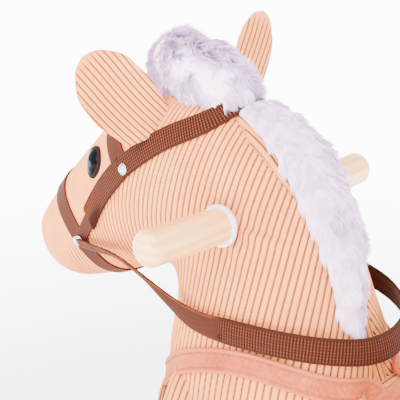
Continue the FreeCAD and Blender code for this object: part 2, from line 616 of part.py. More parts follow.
# ---------------------------------------------------------------- rein
# The rein is one flat strap from bit to bit, round the back of the neck. Each row is a point of its
# route and the way its width runs there: x, y from the handles' line, z, then the width's direction.
REIN_WIDTH, REIN_THICK = 20, 2.2
REIN_ROUTE = [
    (47, -178, 388, (0.2, 0.5, 0.85)), (52, -150, 391, (0.1, 0.3, 0.95)),
    (55, -118, 395, (0.6, 0.6, 0.5)), (57, -85, 387, (0.5, 0.3, 0.8)),
    (59, -50, 374, (0.0, 0.25, 0.97)), (67, -14, 370, (-0.1, 0.15, 0.98)),
    (68, 30, 375, (-0.15, 0.0, 0.98)), (62, 68, 377, (-0.15, -0.05, 0.98)),
    (44, 98, 375, (-0.12, -0.15, 0.98)), (16, 117, 371, (-0.05, -0.3, 0.95)),
    (-18, 119, 371, (0.05, -0.3, 0.95)), (-47, 108, 375, (0.1, -0.2, 0.97)),
    (-67, 84, 381, (0.15, -0.1, 0.98)), (-74, 50, 387, (0.12, 0.0, 0.98)),
    (-74, 12, 391, (0.1, 0.1, 0.98)), (-70, -30, 392, (0.05, 0.15, 0.98)),
    (-63, -75, 390, (0.0, 0.1, 1.0)), (-56, -118, 389, (-0.1, 0.2, 0.97)),
    (-51, -150, 387, (-0.15, 0.3, 0.95)), (-47, -178, 388, (-0.2, 0.5, 0.85)),
]


def rounded_route(rows, share=0.45, steps=3):
    """Points along straight runs joined by tangent arcs, each with the width's direction there."""
    points = [V(x, y + HANDLE_Y, z) for x, y, z, _ in rows]
    widths = [V(*w).normalize() for *_, w in rows]
    route, radii = [(points[0], widths[0])], []
    for i in range(1, len(points) - 1):
        before, after = points[i] - points[i - 1], points[i + 1] - points[i]
        run = min(before.Length, after.Length)
        turn = before.getAngle(after)
        radii.append(share * run / math.tan(turn / 2))
        u, w = V(before).normalize(), V(after).normalize()
        start, end = points[i] - u * (share * run), points[i] + w * (share * run)
        inward = (w - u).normalize()
        centre = points[i] + inward * (radii[-1] / math.cos(turn / 2))
        for k in range(steps + 1):
            chord = start + (end - start) * (k / steps)
            spoke = (chord - centre).normalize()
            route.append((centre + spoke * radii[-1], widths[i]))
    route.append((points[-1], widths[-1]))
    print("rein bend radii, mm:", " ".join("%.0f" % r for r in radii))
    return route


def flat_strap(route, width, thick):
    """Solid strap through the route, a thin rectangle at each point."""
    rings = []
    for i, (point, across) in enumerate(route):
        ahead = route[min(i + 1, len(route) - 1)][0] - route[max(i - 1, 0)][0]
        ahead.normalize()
        across = (across - ahead * across.dot(ahead)).normalize() * (width / 2)
        up = ahead.cross(across).normalize() * (thick / 2)
        corners = [point + across + up, point - across + up, point - across - up, point + across - up]
        rings.append(Part.makePolygon(corners + corners[:1]))
    return Part.makeLoft(rings, True, True)


rein_route = rounded_route(REIN_ROUTE)
rein_length = sum((b[0] - a[0]).Length for a, b in zip(rein_route, rein_route[1:]))
print("rein length, mm: %.0f" % rein_length)
rein = flat_strap(rein_route, REIN_WIDTH, REIN_THICK)
rein = largest(hollow_for(rein, [strap_top, breast_strap] + rivets["bit_rivets"]))

# ---------------------------------------------------------------- nodes
for name in SIDES:
    export("rocker_%s" % name, rockers[name])
    export("handle_%s" % name, handles[name])
    export("handle_collar_%s" % name, collars[name])
    export("cheek_strap_%s" % name, cheek_straps[name])
    export("eye_%s" % name, eyes[name])
    export("stirrup_strap_%s" % name, stirrup_straps[name])
    export("stirrup_%s" % name, stirrups[name])
for end in ENDS:
    export("%s_foot_board" % end, foot_boards[end])
for name, shape in list(legs.items()) + list(hooves.items()):
    export(name, shape)
singles = {
    "middle_stretcher": stretcher, "body_board": body_board, "neck_post": neck_post,
    "head_neck_cover": head_neck_cover, "head_neck_stuffing": head_neck_stuffing,
    "torso_cover": torso_cover, "torso_stuffing": torso_stuffing, "ear_left": ear_left,
    "ear_right": ear_right, "forelock": forelock, "mane": mane, "tail": tail,
    "crown_strap": crown_strap, "browband": browband, "noseband": noseband,
    "chin_strap": chin_strap, "rein": rein, "breast_strap": breast_strap,
    "saddle_seat": saddle_seat, "saddle_skirt": saddle_skirt, "girth_strap": girth_strap,
    "girth_buckle": girth_buckle,
}
for name, shape in singles.items():
    export(name, shape)
groups = {
    "foot_board_screws": board_screws, "stretcher_bolts": stretcher_bolts, "leg_posts": leg_posts,
    "leg_bolts": leg_bolts, "leg_washers": leg_washers, "leg_post_screws": post_screws,
    "neck_post_screws": neck_screws, "handle_hanger_bolts": hanger_bolts, "eye_rims": eye_rims,
    "brow_rivets": rivets["brow_rivets"], "bit_rivets": rivets["bit_rivets"],
    "stirrup_rivets": stirrup_rivets,
}
for name, shapes in groups.items():
    export(name, *shapes)
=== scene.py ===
import math

import bpy
import numpy as np
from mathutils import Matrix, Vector
from mathutils.bvhtree import BVHTree


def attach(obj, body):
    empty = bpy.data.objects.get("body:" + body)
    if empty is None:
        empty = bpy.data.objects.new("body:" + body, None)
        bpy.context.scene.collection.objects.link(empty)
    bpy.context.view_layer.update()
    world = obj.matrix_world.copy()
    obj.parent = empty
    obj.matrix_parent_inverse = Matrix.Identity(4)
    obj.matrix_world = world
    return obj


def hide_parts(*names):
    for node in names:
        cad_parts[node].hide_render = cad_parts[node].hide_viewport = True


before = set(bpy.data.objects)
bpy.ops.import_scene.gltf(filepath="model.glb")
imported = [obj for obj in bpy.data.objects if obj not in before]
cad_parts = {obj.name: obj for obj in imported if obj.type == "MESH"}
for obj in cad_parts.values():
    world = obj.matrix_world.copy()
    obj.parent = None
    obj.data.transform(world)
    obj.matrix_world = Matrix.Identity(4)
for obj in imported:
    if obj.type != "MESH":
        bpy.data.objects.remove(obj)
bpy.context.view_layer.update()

HANDLE_Y, HANDLE_Z = -0.051, 0.450   # where the handles' line crosses the neck
MM = 0.001
SQUARENESS = 2.3                     # sections are a little fuller than an ellipse
WALE = 5.6                           # pitch of the corduroy's ribs, mm
SIDES = {"left": 1, "right": -1}
TRIANGLES = 190000                   # most triangles in one piece

# Head and neck, chest to muzzle, in mm from the handles' line:
# front y, front z, back y, back z, half width.
NECK_SECTIONS = [
    (-85, 262, 115, 262, 74), (-82, 300, 131, 300, 74), (-78, 335, 117, 343, 70),
    (-74, 362, 101, 380, 64), (-76, 377, 86, 417, 58), (-82, 383, 69, 456, 53),
    (-90, 383, 46, 491, 50), (-101, 380, 11, 521, 51), (-114, 374, -35, 538, 53),
    (-130, 366, -87, 537, 53), (-149, 357, -133, 519, 50), (-172, 347, -177, 485, 45),
    (-197, 337, -215, 447, 41), (-222, 332, -245, 415, 36), (-245, 339, -264, 392, 27),
    (-257, 352, -269, 377, 15), (-263, 359, -269, 371, 7),
]
# Barrel of the body, chest to rump: y from the handles' line, centre z, half height, half width.
BODY_SECTIONS = [
    (-76, 250, 32, 30), (-69, 251, 54, 52), (-50, 253, 70, 67), (-12, 255, 78, 75),
    (70, 255, 80, 76), (160, 256, 80, 76), (212, 257, 78, 74), (250, 258, 68, 64),
    (270, 259, 50, 46), (278, 259, 30, 28),
]


# ---------------------------------------------------------------- sums on grids of points
def spline(knots, rows, at):
    """Natural cubic spline through rows at the knots, read at the places at."""
    knots, rows, at = np.asarray(knots, float), np.asarray(rows, float), np.asarray(at, float)
    n, gap = len(knots), np.diff(knots)
    system, right = np.eye(n), np.zeros_like(rows)
    for i in range(1, n - 1):
        system[i, i - 1:i + 2] = gap[i - 1], 2 * (gap[i - 1] + gap[i]), gap[i]
        right[i] = 6 * ((rows[i + 1] - rows[i]) / gap[i] - (rows[i] - rows[i - 1]) / gap[i - 1])
    bend = np.linalg.solve(system, right.reshape(n, -1)).reshape(rows.shape)
    k = np.clip(np.searchsorted(knots, at) - 1, 0, n - 2)
    shape = (-1,) + (1,) * (rows.ndim - 1)
    h = gap[k].reshape(shape)
    b = ((at - knots[k]) / gap[k]).reshape(shape)
    a = 1 - b
    return a * rows[k] + b * rows[k + 1] + ((a ** 3 - a) * bend[k] + (b ** 3 - b) * bend[k + 1]) * h * h / 6


def resample(points, count):
    """The same line with points evenly spaced."""
    steps = np.linalg.norm(np.diff(points, axis=0), axis=1)
    reach = np.concatenate([[0], np.cumsum(steps)])
    even = np.linspace(0, reach[-1], count)
    return np.stack([np.interp(even, reach, points[:, i]) for i in range(points.shape[1])], 1)


def line_length(points):
    return float(np.linalg.norm(np.diff(points, axis=0), axis=1).sum())


def finer(grid, rows, columns, closed=False):
    """A grid of points brought to more rows and columns on smooth curves."""
    if closed:
        grid = np.concatenate([grid[:, -4:], grid, grid[:, :5]], 1)
        n = grid.shape[1] - 9
        across = np.linspace(4, 4 + n, columns, endpoint=False)
    else:
        across = np.linspace(0, grid.shape[1] - 1, columns)
    grid = spline(range(grid.shape[0]), grid, np.linspace(0, grid.shape[0] - 1, rows))
    grid = spline(range(grid.shape[1]), grid.swapaxes(0, 1), across).swapaxes(0, 1)
    return grid


def unit(v):
    return v / np.maximum(np.linalg.norm(v, axis=-1, keepdims=True), 1e-12)


def grid_normals(p, closed=False):
    """Outward normals of a grid whose columns run round it."""
    along = np.gradient(p, axis=0)
    if closed:
        round_ = (np.roll(p, -1, 1) - np.roll(p, 1, 1)) / 2
    else:
        round_ = np.gradient(p, axis=1)
    return unit(np.cross(along, round_))


def ease(low, high, x):
    t = np.clip((x - low) / (high - low), 0, 1)
    return t * t * (3 - 2 * t)


def wander(p, size, seed=0):
    """Smooth noise from -1 to 1 at points p, with lumps about size across."""
    q = np.asarray(p, float) / size + seed * 17.31
    cell = np.floor(q).astype(np.int64)
    f = q - cell
    f = f * f * (3 - 2 * f)
    total = 0
    for dx in (0, 1):
        for dy in (0, 1):
            for dz in (0, 1):
                x, y, z = cell[..., 0] + dx, cell[..., 1] + dy, cell[..., 2] + dz
                n = (x * 73856093) ^ (y * 19349663) ^ (z * 83492791)
                n = (n ^ (n >> 13)) * 1274126177 & 0x7FFFFFFF
                value = ((n ^ (n >> 15)) & 0xFFFF) / 32767.5 - 1
                weight = (f[..., 0] if dx else 1 - f[..., 0]) * (f[..., 1] if dy else 1 - f[..., 1])
                total = total + value * weight * (f[..., 2] if dz else 1 - f[..., 2])
    return total


# ---------------------------------------------------------------- meshes
def add_mesh(name, points, faces, material=None, normals=None, fields=None):
    mesh = bpy.data.meshes.new(name)
    points, faces = np.asarray(points, float), np.asarray(faces, np.int32)
    mesh.vertices.add(len(points))
    mesh.vertices.foreach_set("co", points.ravel())
    size = faces.shape[1]
    mesh.loops.add(faces.size)
    mesh.loops.foreach_set("vertex_index", faces.ravel())
    mesh.polygons.add(len(faces))
    mesh.polygons.foreach_set("loop_start", np.arange(0, faces.size, size, dtype=np.int32))
    mesh.update(calc_edges=True)
    mesh.polygons.foreach_set("use_smooth", np.ones(len(faces), bool))
    for key, values in (fields or {}).items():
        mesh.attributes.new(key, "FLOAT", "POINT").data.foreach_set("value", np.ravel(values))
    if normals is not None:
        mesh.normals_split_custom_set_from_vertices(normals.reshape(-1, 3))
    obj = bpy.data.objects.new(name, mesh)
    bpy.context.scene.collection.objects.link(obj)
    if material:
        mesh.materials.append(material)
    return obj


def add_grid(name, p, closed=False, material=None, fields=None, normals=None):
    """Pieces from a grid of points, cut into bands that aren't too heavy. The first is returned
    with the others as its children."""
    rows, columns = p.shape[:2]
    normals = grid_normals(p, closed) if normals is None else normals
    wide = columns if closed else columns - 1
    band = max(1, TRIANGLES // 2 // wide)
    count = math.ceil((rows - 1) / band)
    edges = np.linspace(0, rows - 1, count + 1).astype(int)
    made = []
    for k, (first, last) in enumerate(zip(edges, edges[1:])):
        i, j = np.meshgrid(np.arange(last - first), np.arange(wide), indexing="ij")
        ahead = (j + 1) % columns
        quads = np.stack([i * columns + j, (i + 1) * columns + j,
                          (i + 1) * columns + ahead, i * columns + ahead], -1).reshape(-1, 4)
        take = slice(first, last + 1)
        part = add_mesh(name if k == 0 else "%s_%d" % (name, k + 1), p[take].reshape(-1, 3), quads,
                        material, normals[take], {f: v[take] for f, v in (fields or {}).items()})
        made.append(part)
    for part in made[1:]:
        part.parent = made[0]
    return made[0]


def settle(obj, body, slot, *nodes):
    """obj and its children ride on a body, in place of CAD nodes. The slot is not used."""
    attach(obj, body)
    if nodes:
        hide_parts(*nodes)
    return obj


def puff(p, loose, pressure=4.0, cap=0.005, closed=True, frames=20):
    """Blow a grid of cloth up like stuffed fabric. loose is 0 where it is sewn down, 1 where free."""
    rows, columns = p.shape[:2]
    wide = columns if closed else columns - 1
    i, j = np.meshgrid(np.arange(rows - 1), np.arange(wide), indexing="ij")
    ahead = (j + 1) % columns
    quads = np.stack([i * columns + j, (i + 1) * columns + j,
                      (i + 1) * columns + ahead, i * columns + ahead], -1).reshape(-1, 4)
    cloth = add_mesh("cloth", p.reshape(-1, 3), quads)
    held = cloth.vertex_groups.new(name="held")
    for index, value in enumerate(1 - np.ravel(loose)):
        if value > 0.01:
            held.add([index], float(value), "REPLACE")
    modifier = cloth.modifiers.new("cloth", "CLOTH")
    settings = modifier.settings
    settings.vertex_group_mass = "held"
    settings.quality = 6
    settings.mass = 0.15
    settings.tension_stiffness = settings.compression_stiffness = 12
    settings.shear_stiffness = 6
    settings.bending_stiffness = 0.6
    settings.use_pressure = True
    settings.uniform_pressure_force = pressure
    settings.effector_weights.gravity = 0
    modifier.collision_settings.use_collision = False
    modifier.point_cache.frame_start, modifier.point_cache.frame_end = 1, frames
    for number in range(1, frames + 1):
        bpy.context.scene.frame_set(number)
    shape = cloth.evaluated_get(bpy.context.evaluated_depsgraph_get()).to_mesh()
    blown = np.empty(len(shape.vertices) * 3)
    shape.vertices.foreach_get("co", blown)
    bpy.context.scene.frame_set(1)
    bpy.data.objects.remove(cloth)
    move = blown.reshape(p.shape) - p
    size = np.linalg.norm(move, axis=-1, keepdims=True)
    return p + move / np.maximum(size, 1e-9) * cap * np.tanh(size / cap)


# ---------------------------------------------------------------- materials
def srgb(r, g, b):
    """Linear colour from 0 to 255 screen values."""
    return tuple(c / 12.92 / 255 if c < 10.3 else ((c / 255 + 0.055) / 1.055) ** 2.4
                 for c in (r, g, b)) + (1,)


class Finish:
    """A procedural material, built node by node on the principled shader."""

    def __init__(self, name, **sockets):
        self.material = bpy.data.materials.new(name)
        self.material.use_nodes = True
        self.nodes, self.links = self.material.node_tree.nodes, self.material.node_tree.links
        self.shader = self.nodes["Principled BSDF"]
        for key, value in sockets.items():
            self.shader.inputs[key.replace("_", " ")].default_value = value

    def add(self, kind, inputs=(), **settings):
        made = self.nodes.new(kind)
        for key, value in settings.items():
            setattr(made, key, value)
        for key, value in dict(inputs).items():
            if isinstance(value, bpy.types.NodeSocket):
                self.links.new(value, made.inputs[key])
            else:
                made.inputs[key].default_value = value
        return made

    def field(self, name):
        return self.add("ShaderNodeAttribute", attribute_name=name).outputs["Fac"]

    def place(self, scale=(1, 1, 1), turn=(0, 0, 0), shift=(0, 0, 0)):
        where = self.add("ShaderNodeTexCoord").outputs["Object"]
        return self.add("ShaderNodeMapping", {"Vector": where, "Scale": scale, "Rotation": turn,
                                              "Location": shift}).outputs["Vector"]

    def noise(self, scale, detail=2.0, where=None, roughness=0.5):
        inputs = {"Scale": scale, "Detail": detail, "Roughness": roughness,
                  "Vector": where or self.place()}
        return self.add("ShaderNodeTexNoise", inputs).outputs["Fac"]

    def sums(self, operation, a, b=0.0, c=0.0):
        return self.add("ShaderNodeMath", {0: a, 1: b, 2: c}, operation=operation).outputs[0]

    def between(self, value, low, high, start=0.0, end=1.0):
        inputs = {"Value": value, "From Min": low, "From Max": high, "To Min": start, "To Max": end}
        return self.add("ShaderNodeMapRange", inputs, interpolation_type="SMOOTHSTEP").outputs[0]

    def ramp(self, value, *stops):
        made = self.add("ShaderNodeValToRGB", {"Fac": value})
        bar = made.color_ramp.elements
        while len(bar) < len(stops):
            bar.new(0.5)
        for element, (at, colour) in zip(bar, stops):
            element.position = at
            element.color = srgb(*colour)
        return made.outputs["Color"]

    def mix(self, share, a, b, blend="MIX"):
        made = self.add("ShaderNodeMix", data_type="RGBA", blend_type=blend)
        for key, value in ((0, share), (6, a), (7, b)):
            if isinstance(value, bpy.types.NodeSocket):
                self.links.new(value, made.inputs[key])
            else:
                made.inputs[key].default_value = value
        return made.outputs[2]

    def bump(self, height, strength, depth):
        inputs = {"Height": height, "Strength": strength, "Distance": depth}
        made = self.add("ShaderNodeBump", inputs).outputs["Normal"]
        self.links.new(made, self.shader.inputs["Normal"])

    def finish(self, colour, rough=None):
        self.links.new(colour, self.shader.inputs["Base Color"])
        if rough is not None:
            self.links.new(rough, self.shader.inputs["Roughness"])
        return self.material


def make_corduroy():
    m = Finish("corduroy", Roughness=0.95, Sheen_Weight=0.12, Sheen_Roughness=0.5,
               Sheen_Tint=srgb(255, 200, 170), Specular_IOR_Level=0.12)
    phase = m.sums("FRACT", m.field("wale"))
    off = m.sums("MULTIPLY", m.sums("ABSOLUTE", m.sums("SUBTRACT", phase, 0.5)), 2.0)
    fuzz = m.noise(1500, 2)
    ragged = m.sums("MULTIPLY_ADD", fuzz, 0.22, off)
    # Painted shade: the grooves between the ribs are mixed towards dark brown srgb(72, 39, 24), as shade in the
    # recesses.
    painted_groove_shade = m.sums("MULTIPLY", m.between(ragged, 0.70, 1.06), m.field("rib"))
    # Painted shade: each rib's flanks are mixed towards the darker srgb(172, 97, 56), as shade on its rounded sides.
    rise = m.sums("MULTIPLY", m.between(off, 0.40, 0.95), m.field("rib"))
    patch = m.noise(24, 3)
    pile = m.ramp(m.sums("MULTIPLY_ADD", m.noise(900, 3), 0.5, m.sums("MULTIPLY", patch, 0.5)),
                  (0.30, (214, 119, 62)), (0.5, (228, 135, 73)), (0.72, (241, 157, 95)))
    shaded = m.mix(m.sums("MULTIPLY", rise, 0.6), pile, srgb(172, 97, 56))
    colour = m.mix(m.sums("MULTIPLY", painted_groove_shade, 0.85), shaded, srgb(72, 39, 24))
    m.bump(m.noise(1300, 3, roughness=0.7), 0.35, 0.0006)
    return m.finish(colour)


def make_webbing():
    m = Finish("brown_webbing", Roughness=0.8, Sheen_Weight=0.06, Sheen_Roughness=0.4,
               Sheen_Tint=srgb(255, 190, 160), Specular_IOR_Level=0.1)
    # Painted light and shade: the colour follows the lit field, the brightness painted on the threads, selvages and
    # edges of the weave.
    thread = m.sums("MULTIPLY_ADD", m.noise(1800, 2), 0.35, m.sums("SUBTRACT", m.field("lit"), 0.16))
    colour = m.ramp(thread, (0.05, (16, 4, 1)), (0.42, (54, 21, 10)), (0.75, (86, 37, 19)),
                    (1.0, (156, 84, 50)))
    wear_and_edge_highlight = m.mix(m.sums("MULTIPLY", m.noise(40, 3), 0.25), colour, srgb(66, 27, 13))
    m.bump(m.noise(2600, 2), 0.25, 0.0004)
    return m.finish(wear_and_edge_highlight)


def make_suede(name, dark, middle, light, crackle=0.25):
    m = Finish(name, Roughness=0.95, Sheen_Weight=0.15, Sheen_Roughness=0.5,
               Sheen_Tint=srgb(255, 200, 175), Specular_IOR_Level=0.12)
    nap = m.sums("MULTIPLY_ADD", m.noise(420, 4, roughness=0.65), 0.55, m.sums("MULTIPLY", m.noise(45, 3), 0.45))
    colour = m.ramp(nap, (0.3, dark), (0.52, middle), (0.72, light))
    cells = m.add("ShaderNodeTexVoronoi", {"Scale": 210.0, "Vector": m.place()},
                  feature="DISTANCE_TO_EDGE").outputs["Distance"]
    crack = m.between(cells, 0.0, 0.06, 1.0, 0.0)
    # Painted highlight: where the edge field is high, on rolled edges, welts and piping, the colour is mixed halfway
    # towards the light tone.
    wear_and_edge_highlight = m.mix(m.sums("MULTIPLY", m.field("edge"), 0.5), colour, srgb(*light))
    colour = m.mix(m.sums("MULTIPLY", crack, crackle), wear_and_edge_highlight, srgb(*dark))
    m.bump(m.noise(900, 3, roughness=0.7), 0.35, 0.0005)
    return m.finish(colour)


def make_fur():
    m = Finish("white_fur", Roughness=0.8, Sheen_Weight=0.3, Sheen_Roughness=0.4,
               Sheen_Tint=srgb(244, 234, 255), Specular_IOR_Level=0.2)
    # Painted shade: the field read here holds each hair's random tone plus a painted shade at its root; the ramp's
    # darker lilac is that shade.
    share = m.sums("MULTIPLY_ADD", m.noise(70, 2), 0.3, m.sums("SUBTRACT", m.field("tone_and_root_shade"), 0.15))
    colour = m.ramp(share, (0.0, (228, 192, 238)), (0.35, (244, 212, 250)), (0.7, (253, 229, 254)),
                    (1.0, (255, 240, 255)))
    return m.finish(colour)


def make_wood(name, grain, dark, middle, light, coat, rough):
    """Timber with its grain along one axis."""
    m = Finish(name, Roughness=rough, Coat_Weight=coat, Coat_Roughness=0.18)
    stretch = tuple(0.09 if axis == grain else 1.0 for axis in "XYZ")
    drift = m.place(stretch, turn=(0.06, 0.05, 0.04), shift=(0.012, 0.02, 0.05))
    bands = m.add("ShaderNodeTexWave", {"Vector": drift, "Scale": 42.0, "Distortion": 3.2,
                                        "Detail": 3.0, "Detail Scale": 1.2},
                  wave_type="RINGS", rings_direction=grain).outputs["Fac"]
    streak = m.noise(260, 4, m.place(tuple(0.05 if axis == grain else 1.0 for axis in "XYZ")))
    share = m.sums("MULTIPLY_ADD", bands, 0.3, m.sums("MULTIPLY", streak, 0.7))
    colour = m.ramp(share, (0.05, dark), (0.45, middle), (0.9, light))
    pores = m.between(m.noise(900, 2, m.place(tuple(0.04 if axis == grain else 1.0 for axis in "XYZ"))), 0.62, 0.75)
    colour = m.mix(m.sums("MULTIPLY", pores, 0.25), colour, srgb(*dark))
    m.bump(m.sums("ADD", share, pores), 0.06, 0.0004)
    return m.finish(colour, m.between(streak, 0.2, 0.8, rough - 0.06, rough + 0.1))


def make_metal(name, tone, rough, brush):
    m = Finish(name, Metallic=1.0)
    scratch = m.noise(700, 3, m.place((1, 1, brush)))
    colour = m.ramp(scratch, (0.3, tuple(c - 18 for c in tone)), (0.7, tone))
    m.bump(scratch, 0.05, 0.0002)
    return m.finish(colour, m.between(scratch, 0.3, 0.8, rough, rough + 0.12))


def make_plastic(name, tone, rough, coat=0.1):
    m = Finish(name, Coat_Weight=coat, Coat_Roughness=0.25)
    cloud = m.noise(60, 3)
    colour = m.ramp(cloud, (0.3, tuple(max(c - 9, 0) for c in tone)), (0.7, tone))
    m.bump(m.noise(1600, 2), 0.12, 0.0002)
    return m.finish(colour, m.between(cloud, 0.3, 0.7, rough - 0.05, rough + 0.08))


def make_fibre(name, dark, light, scale, rough=0.95):
    """Matted fibre: stuffing, felt and thread."""
    m = Finish(name, Roughness=rough, Specular_IOR_Level=0.2)
    tangle = m.noise(scale, 4, roughness=0.7)
    m.bump(tangle, 0.5, 0.001)
    return m.finish(m.ramp(tangle, (0.3, dark), (0.7, light)))


def make_eye():
    m = Finish("eye_gloss", Roughness=0.1, Specular_IOR_Level=0.1, IOR=1.3)
    # Painted reflection: the field read here marks a bluish-grey spot low on the black dome, standing in for a
    # reflection.
    inner = m.field("painted_reflection_spot")
    colour = m.ramp(inner, (0.0, (4, 4, 6)), (0.5, (6, 6, 9)), (0.8, (18, 19, 28)), (1.0, (46, 47, 64)))
    flecks = m.mix(m.sums("MULTIPLY", m.noise(900, 3), 0.25), colour, srgb(14, 12, 16))
    return m.finish(flecks)


corduroy = make_corduroy()
webbing = make_webbing()
suede = make_suede("peach_suede", (138, 57, 30), (172, 80, 46), (198, 103, 64))
hoof_suede = make_suede("hoof_suede", (44, 20, 11), (70, 35, 20), (98, 54, 33), 0.15)
fur_white = make_fur()
pine_x = make_wood("varnished_pine_handles", "X", (214, 130, 60), (244, 172, 96), (252, 196, 126), 0.3, 0.3)
pine_y = make_wood("varnished_pine_rockers", "Y", (206, 130, 66), (236, 172, 102), (246, 196, 132), 0.3, 0.34)
birch = make_wood("raw_birch", "Y", (206, 176, 132), (226, 198, 156), (238, 214, 176), 0.0, 0.6)
birch_z = make_wood("raw_birch_posts", "Z", (206, 176, 132), (226, 198, 156), (238, 214, 176), 0.0, 0.6)
zinc = make_metal("zinc_steel", (196, 198, 204), 0.3, 0.2)
chrome = make_metal("bright_metal", (206, 208, 216), 0.08, 1.0)
collar_white = make_plastic("collar_plastic", (226, 216, 246), 0.4)
stirrup_brown = make_plastic("stirrup_plastic", (84, 46, 28), 0.45)
stuffing = make_fibre("stuffing", (222, 222, 220), (246, 246, 246), 240)
felt = make_fibre("eye_rim_felt", (14, 8, 7), (34, 20, 17), 1500)
thread = make_fibre("stitching_thread", (134, 70, 44), (176, 104, 74), 2400, 0.7)
eye_black = make_eye()


# ---------------------------------------------------------------- head, neck and body
def ring_grid(centres, across, along, rows, columns):
    """Grid through rings, each a centre and two half axes, with the outside facing out."""
    centres, across, along = (np.array(v, float) for v in (centres, across, along))
    knots = np.concatenate([[0], np.cumsum(np.linalg.norm(np.diff(centres, axis=0), axis=1))])
    at = np.linspace(0, knots[-1], rows)
    c, x, l = (spline(knots, v, at)[:, None] for v in (centres, across, along))
    a = np.linspace(0, 2 * math.pi, columns, endpoint=False)
    reach = (abs(np.cos(a)) ** SQUARENESS + abs(np.sin(a)) ** SQUARENESS) ** (-1 / SQUARENESS)
    p = c + l * (np.cos(a) * reach)[None, :, None] + x * (np.sin(a) * reach)[None, :, None]
    if (grid_normals(p, True) * (p - c)).sum() < 0:
        p = p[::-1]
    return p


def side_point(y, z, x=0.0):
    """A point given in mm from the handles' line, as seen from the side."""
    return np.array([x * MM, HANDLE_Y + y * MM, z * MM])


def neck_grid(rows, columns):
    centres, across, along = [], [], []
    muzzle = [(-267, 364, -270.5, 369, 4), (-269.5, 366, -270, 367, 0.4)]
    for fy, fz, by, bz, half in NECK_SECTIONS + muzzle:
        front, back = side_point(fy, fz), side_point(by, bz)
        centres.append((front + back) / 2)
        across.append((half * MM, 0, 0))
        along.append((back - front) / 2)
    return ring_grid(centres, across, along, rows, columns)


def body_grid(rows, columns):
    table = [(-77, 250, 6, 6)] + BODY_SECTIONS + [(279, 259, 6, 6)]
    return ring_grid([side_point(y, z) for y, z, _, _ in table],
                     [(half * MM, 0, 0) for *_, half in table],
                     [(0, 0, tall * MM) for _, _, tall, _ in table], rows, columns)


def tree_of(*grids):
    """Search tree over closed grids."""
    points, faces, start = [], [], 0
    for p in grids:
        rows, columns = p.shape[:2]
        i, j = np.meshgrid(np.arange(rows - 1), np.arange(columns), indexing="ij")
        ahead = (j + 1) % columns
        quads = np.stack([i * columns + j, (i + 1) * columns + j,
                          (i + 1) * columns + ahead, i * columns + ahead], -1).reshape(-1, 4)
        faces += (quads + start).tolist()
        points += p.reshape(-1, 3).tolist()
        start += rows * columns
    return BVHTree.FromPolygons(points, faces)


def nearest(tree, points):
    """Nearest places on a surface and the outward directions there."""
    found = [tree.find_nearest(Vector(p)) for p in points.reshape(-1, 3)]
    places = np.array([f[0] for f in found]).reshape(points.shape)
    return places, np.array([f[1] for f in found]).reshape(points.shape)


def away_from_line(y, z, line):
    """Distance in the side view from points to a line of points, all in mm."""
    best = np.full(np.shape(y), 1e9)
    for (y0, z0), (y1, z1) in zip(line, line[1:]):
        dy, dz = y1 - y0, z1 - z0
        t = np.clip(((y - y0) * dy + (z - z0) * dz) / (dy * dy + dz * dz), 0, 1)
        best = np.minimum(best, np.hypot(y - y0 - t * dy, z - z0 - t * dz))
    return best


UPPER_RIVET, BIT_RIVET = (-110, 473), (-178, 390)
CROWN_LINE = [UPPER_RIVET, (-72, 501), (-47, 514), (-25, 524), (-13, 550)]
BROW_LINE = [UPPER_RIVET, (-137, 499), (-158, 522), (-166, 540)]
CHEEK_LINE = [UPPER_RIVET, (-141, 440), (-165, 406), BIT_RIVET]
NOSE_LINE = [BIT_RIVET, (-202, 415), (-232, 441), (-251, 452)]
CHIN_LINE = [BIT_RIVET, (-161, 369), (-147, 350), (-138, 334)]
BREAST_LINE = [(-110, 264), (-80, 282), (-40, 321), (5, 345), (40, 353), (75, 351), (104, 344),
               (134, 337)]
EYE = (-154, 468)


def side_view(p):
    return (p[..., 1] - HANDLE_Y) / MM, p[..., 2] / MM


# The cover is sewn down along its centre seams and pressed by straps, eyes and handles; between
# them the stuffing pushes it out.
neck = neck_grid(66, 64)
y, z = side_view(neck)
around = np.linspace(0, 2 * math.pi, neck.shape[1], endpoint=False)
loose = ease(0.0, 0.35, abs(np.sin(around)))[None, :] * np.ones_like(y)
for pressed in (CROWN_LINE, BROW_LINE, CHEEK_LINE, NOSE_LINE, CHIN_LINE, BREAST_LINE):
    loose *= ease(9, 26, away_from_line(y, z, pressed))
loose *= ease(18, 40, np.hypot(y, z - 450)) * ease(12, 26, np.hypot(y - EYE[0], z - EYE[1]))
loose[:3] = loose[-4:] = 0
neck = puff(neck, loose, cap=0.0035)
lumps = wander(neck, 0.045, 1) * 0.0008 + wander(neck, 0.02, 2) * 0.0003
neck += grid_normals(neck, True) * (lumps * (0.25 + 0.75 * loose))[..., None]

barrel = body_grid(52, 56)
y, z = side_view(barrel)
around = np.linspace(0, 2 * math.pi, barrel.shape[1], endpoint=False)
loose = ease(0.0, 0.3, abs(np.sin(around)))[None, :] * np.ones_like(y)
loose *= ease(120, 96, y) + ease(252, 262, y) * 0.6
loose *= ease(8, 26, away_from_line(y, z, BREAST_LINE))
loose[:2] = loose[-2:] = 0
barrel = puff(barrel, loose, cap=0.004)
barrel += grid_normals(barrel, True) * (wander(barrel, 0.05, 3) * 0.0008 * (0.2 + 0.8 * loose))[..., None]

neck_tree = tree_of(finer(neck, 160, 144, True))
all_tree = tree_of(finer(neck, 160, 144, True), finer(barrel, 130, 120, True))


def ribbed(p, wale, rib, depth=0.0015):
    """Points of a closed grid raised into corduroy ribs."""
    off = abs(wale - np.floor(wale) - 0.5) * 2
    drop = (1 - np.sqrt(1 - np.minimum(off, 0.995) ** 2.6)) * rib * depth
    return p - grid_normals(p, True) * drop[..., None]


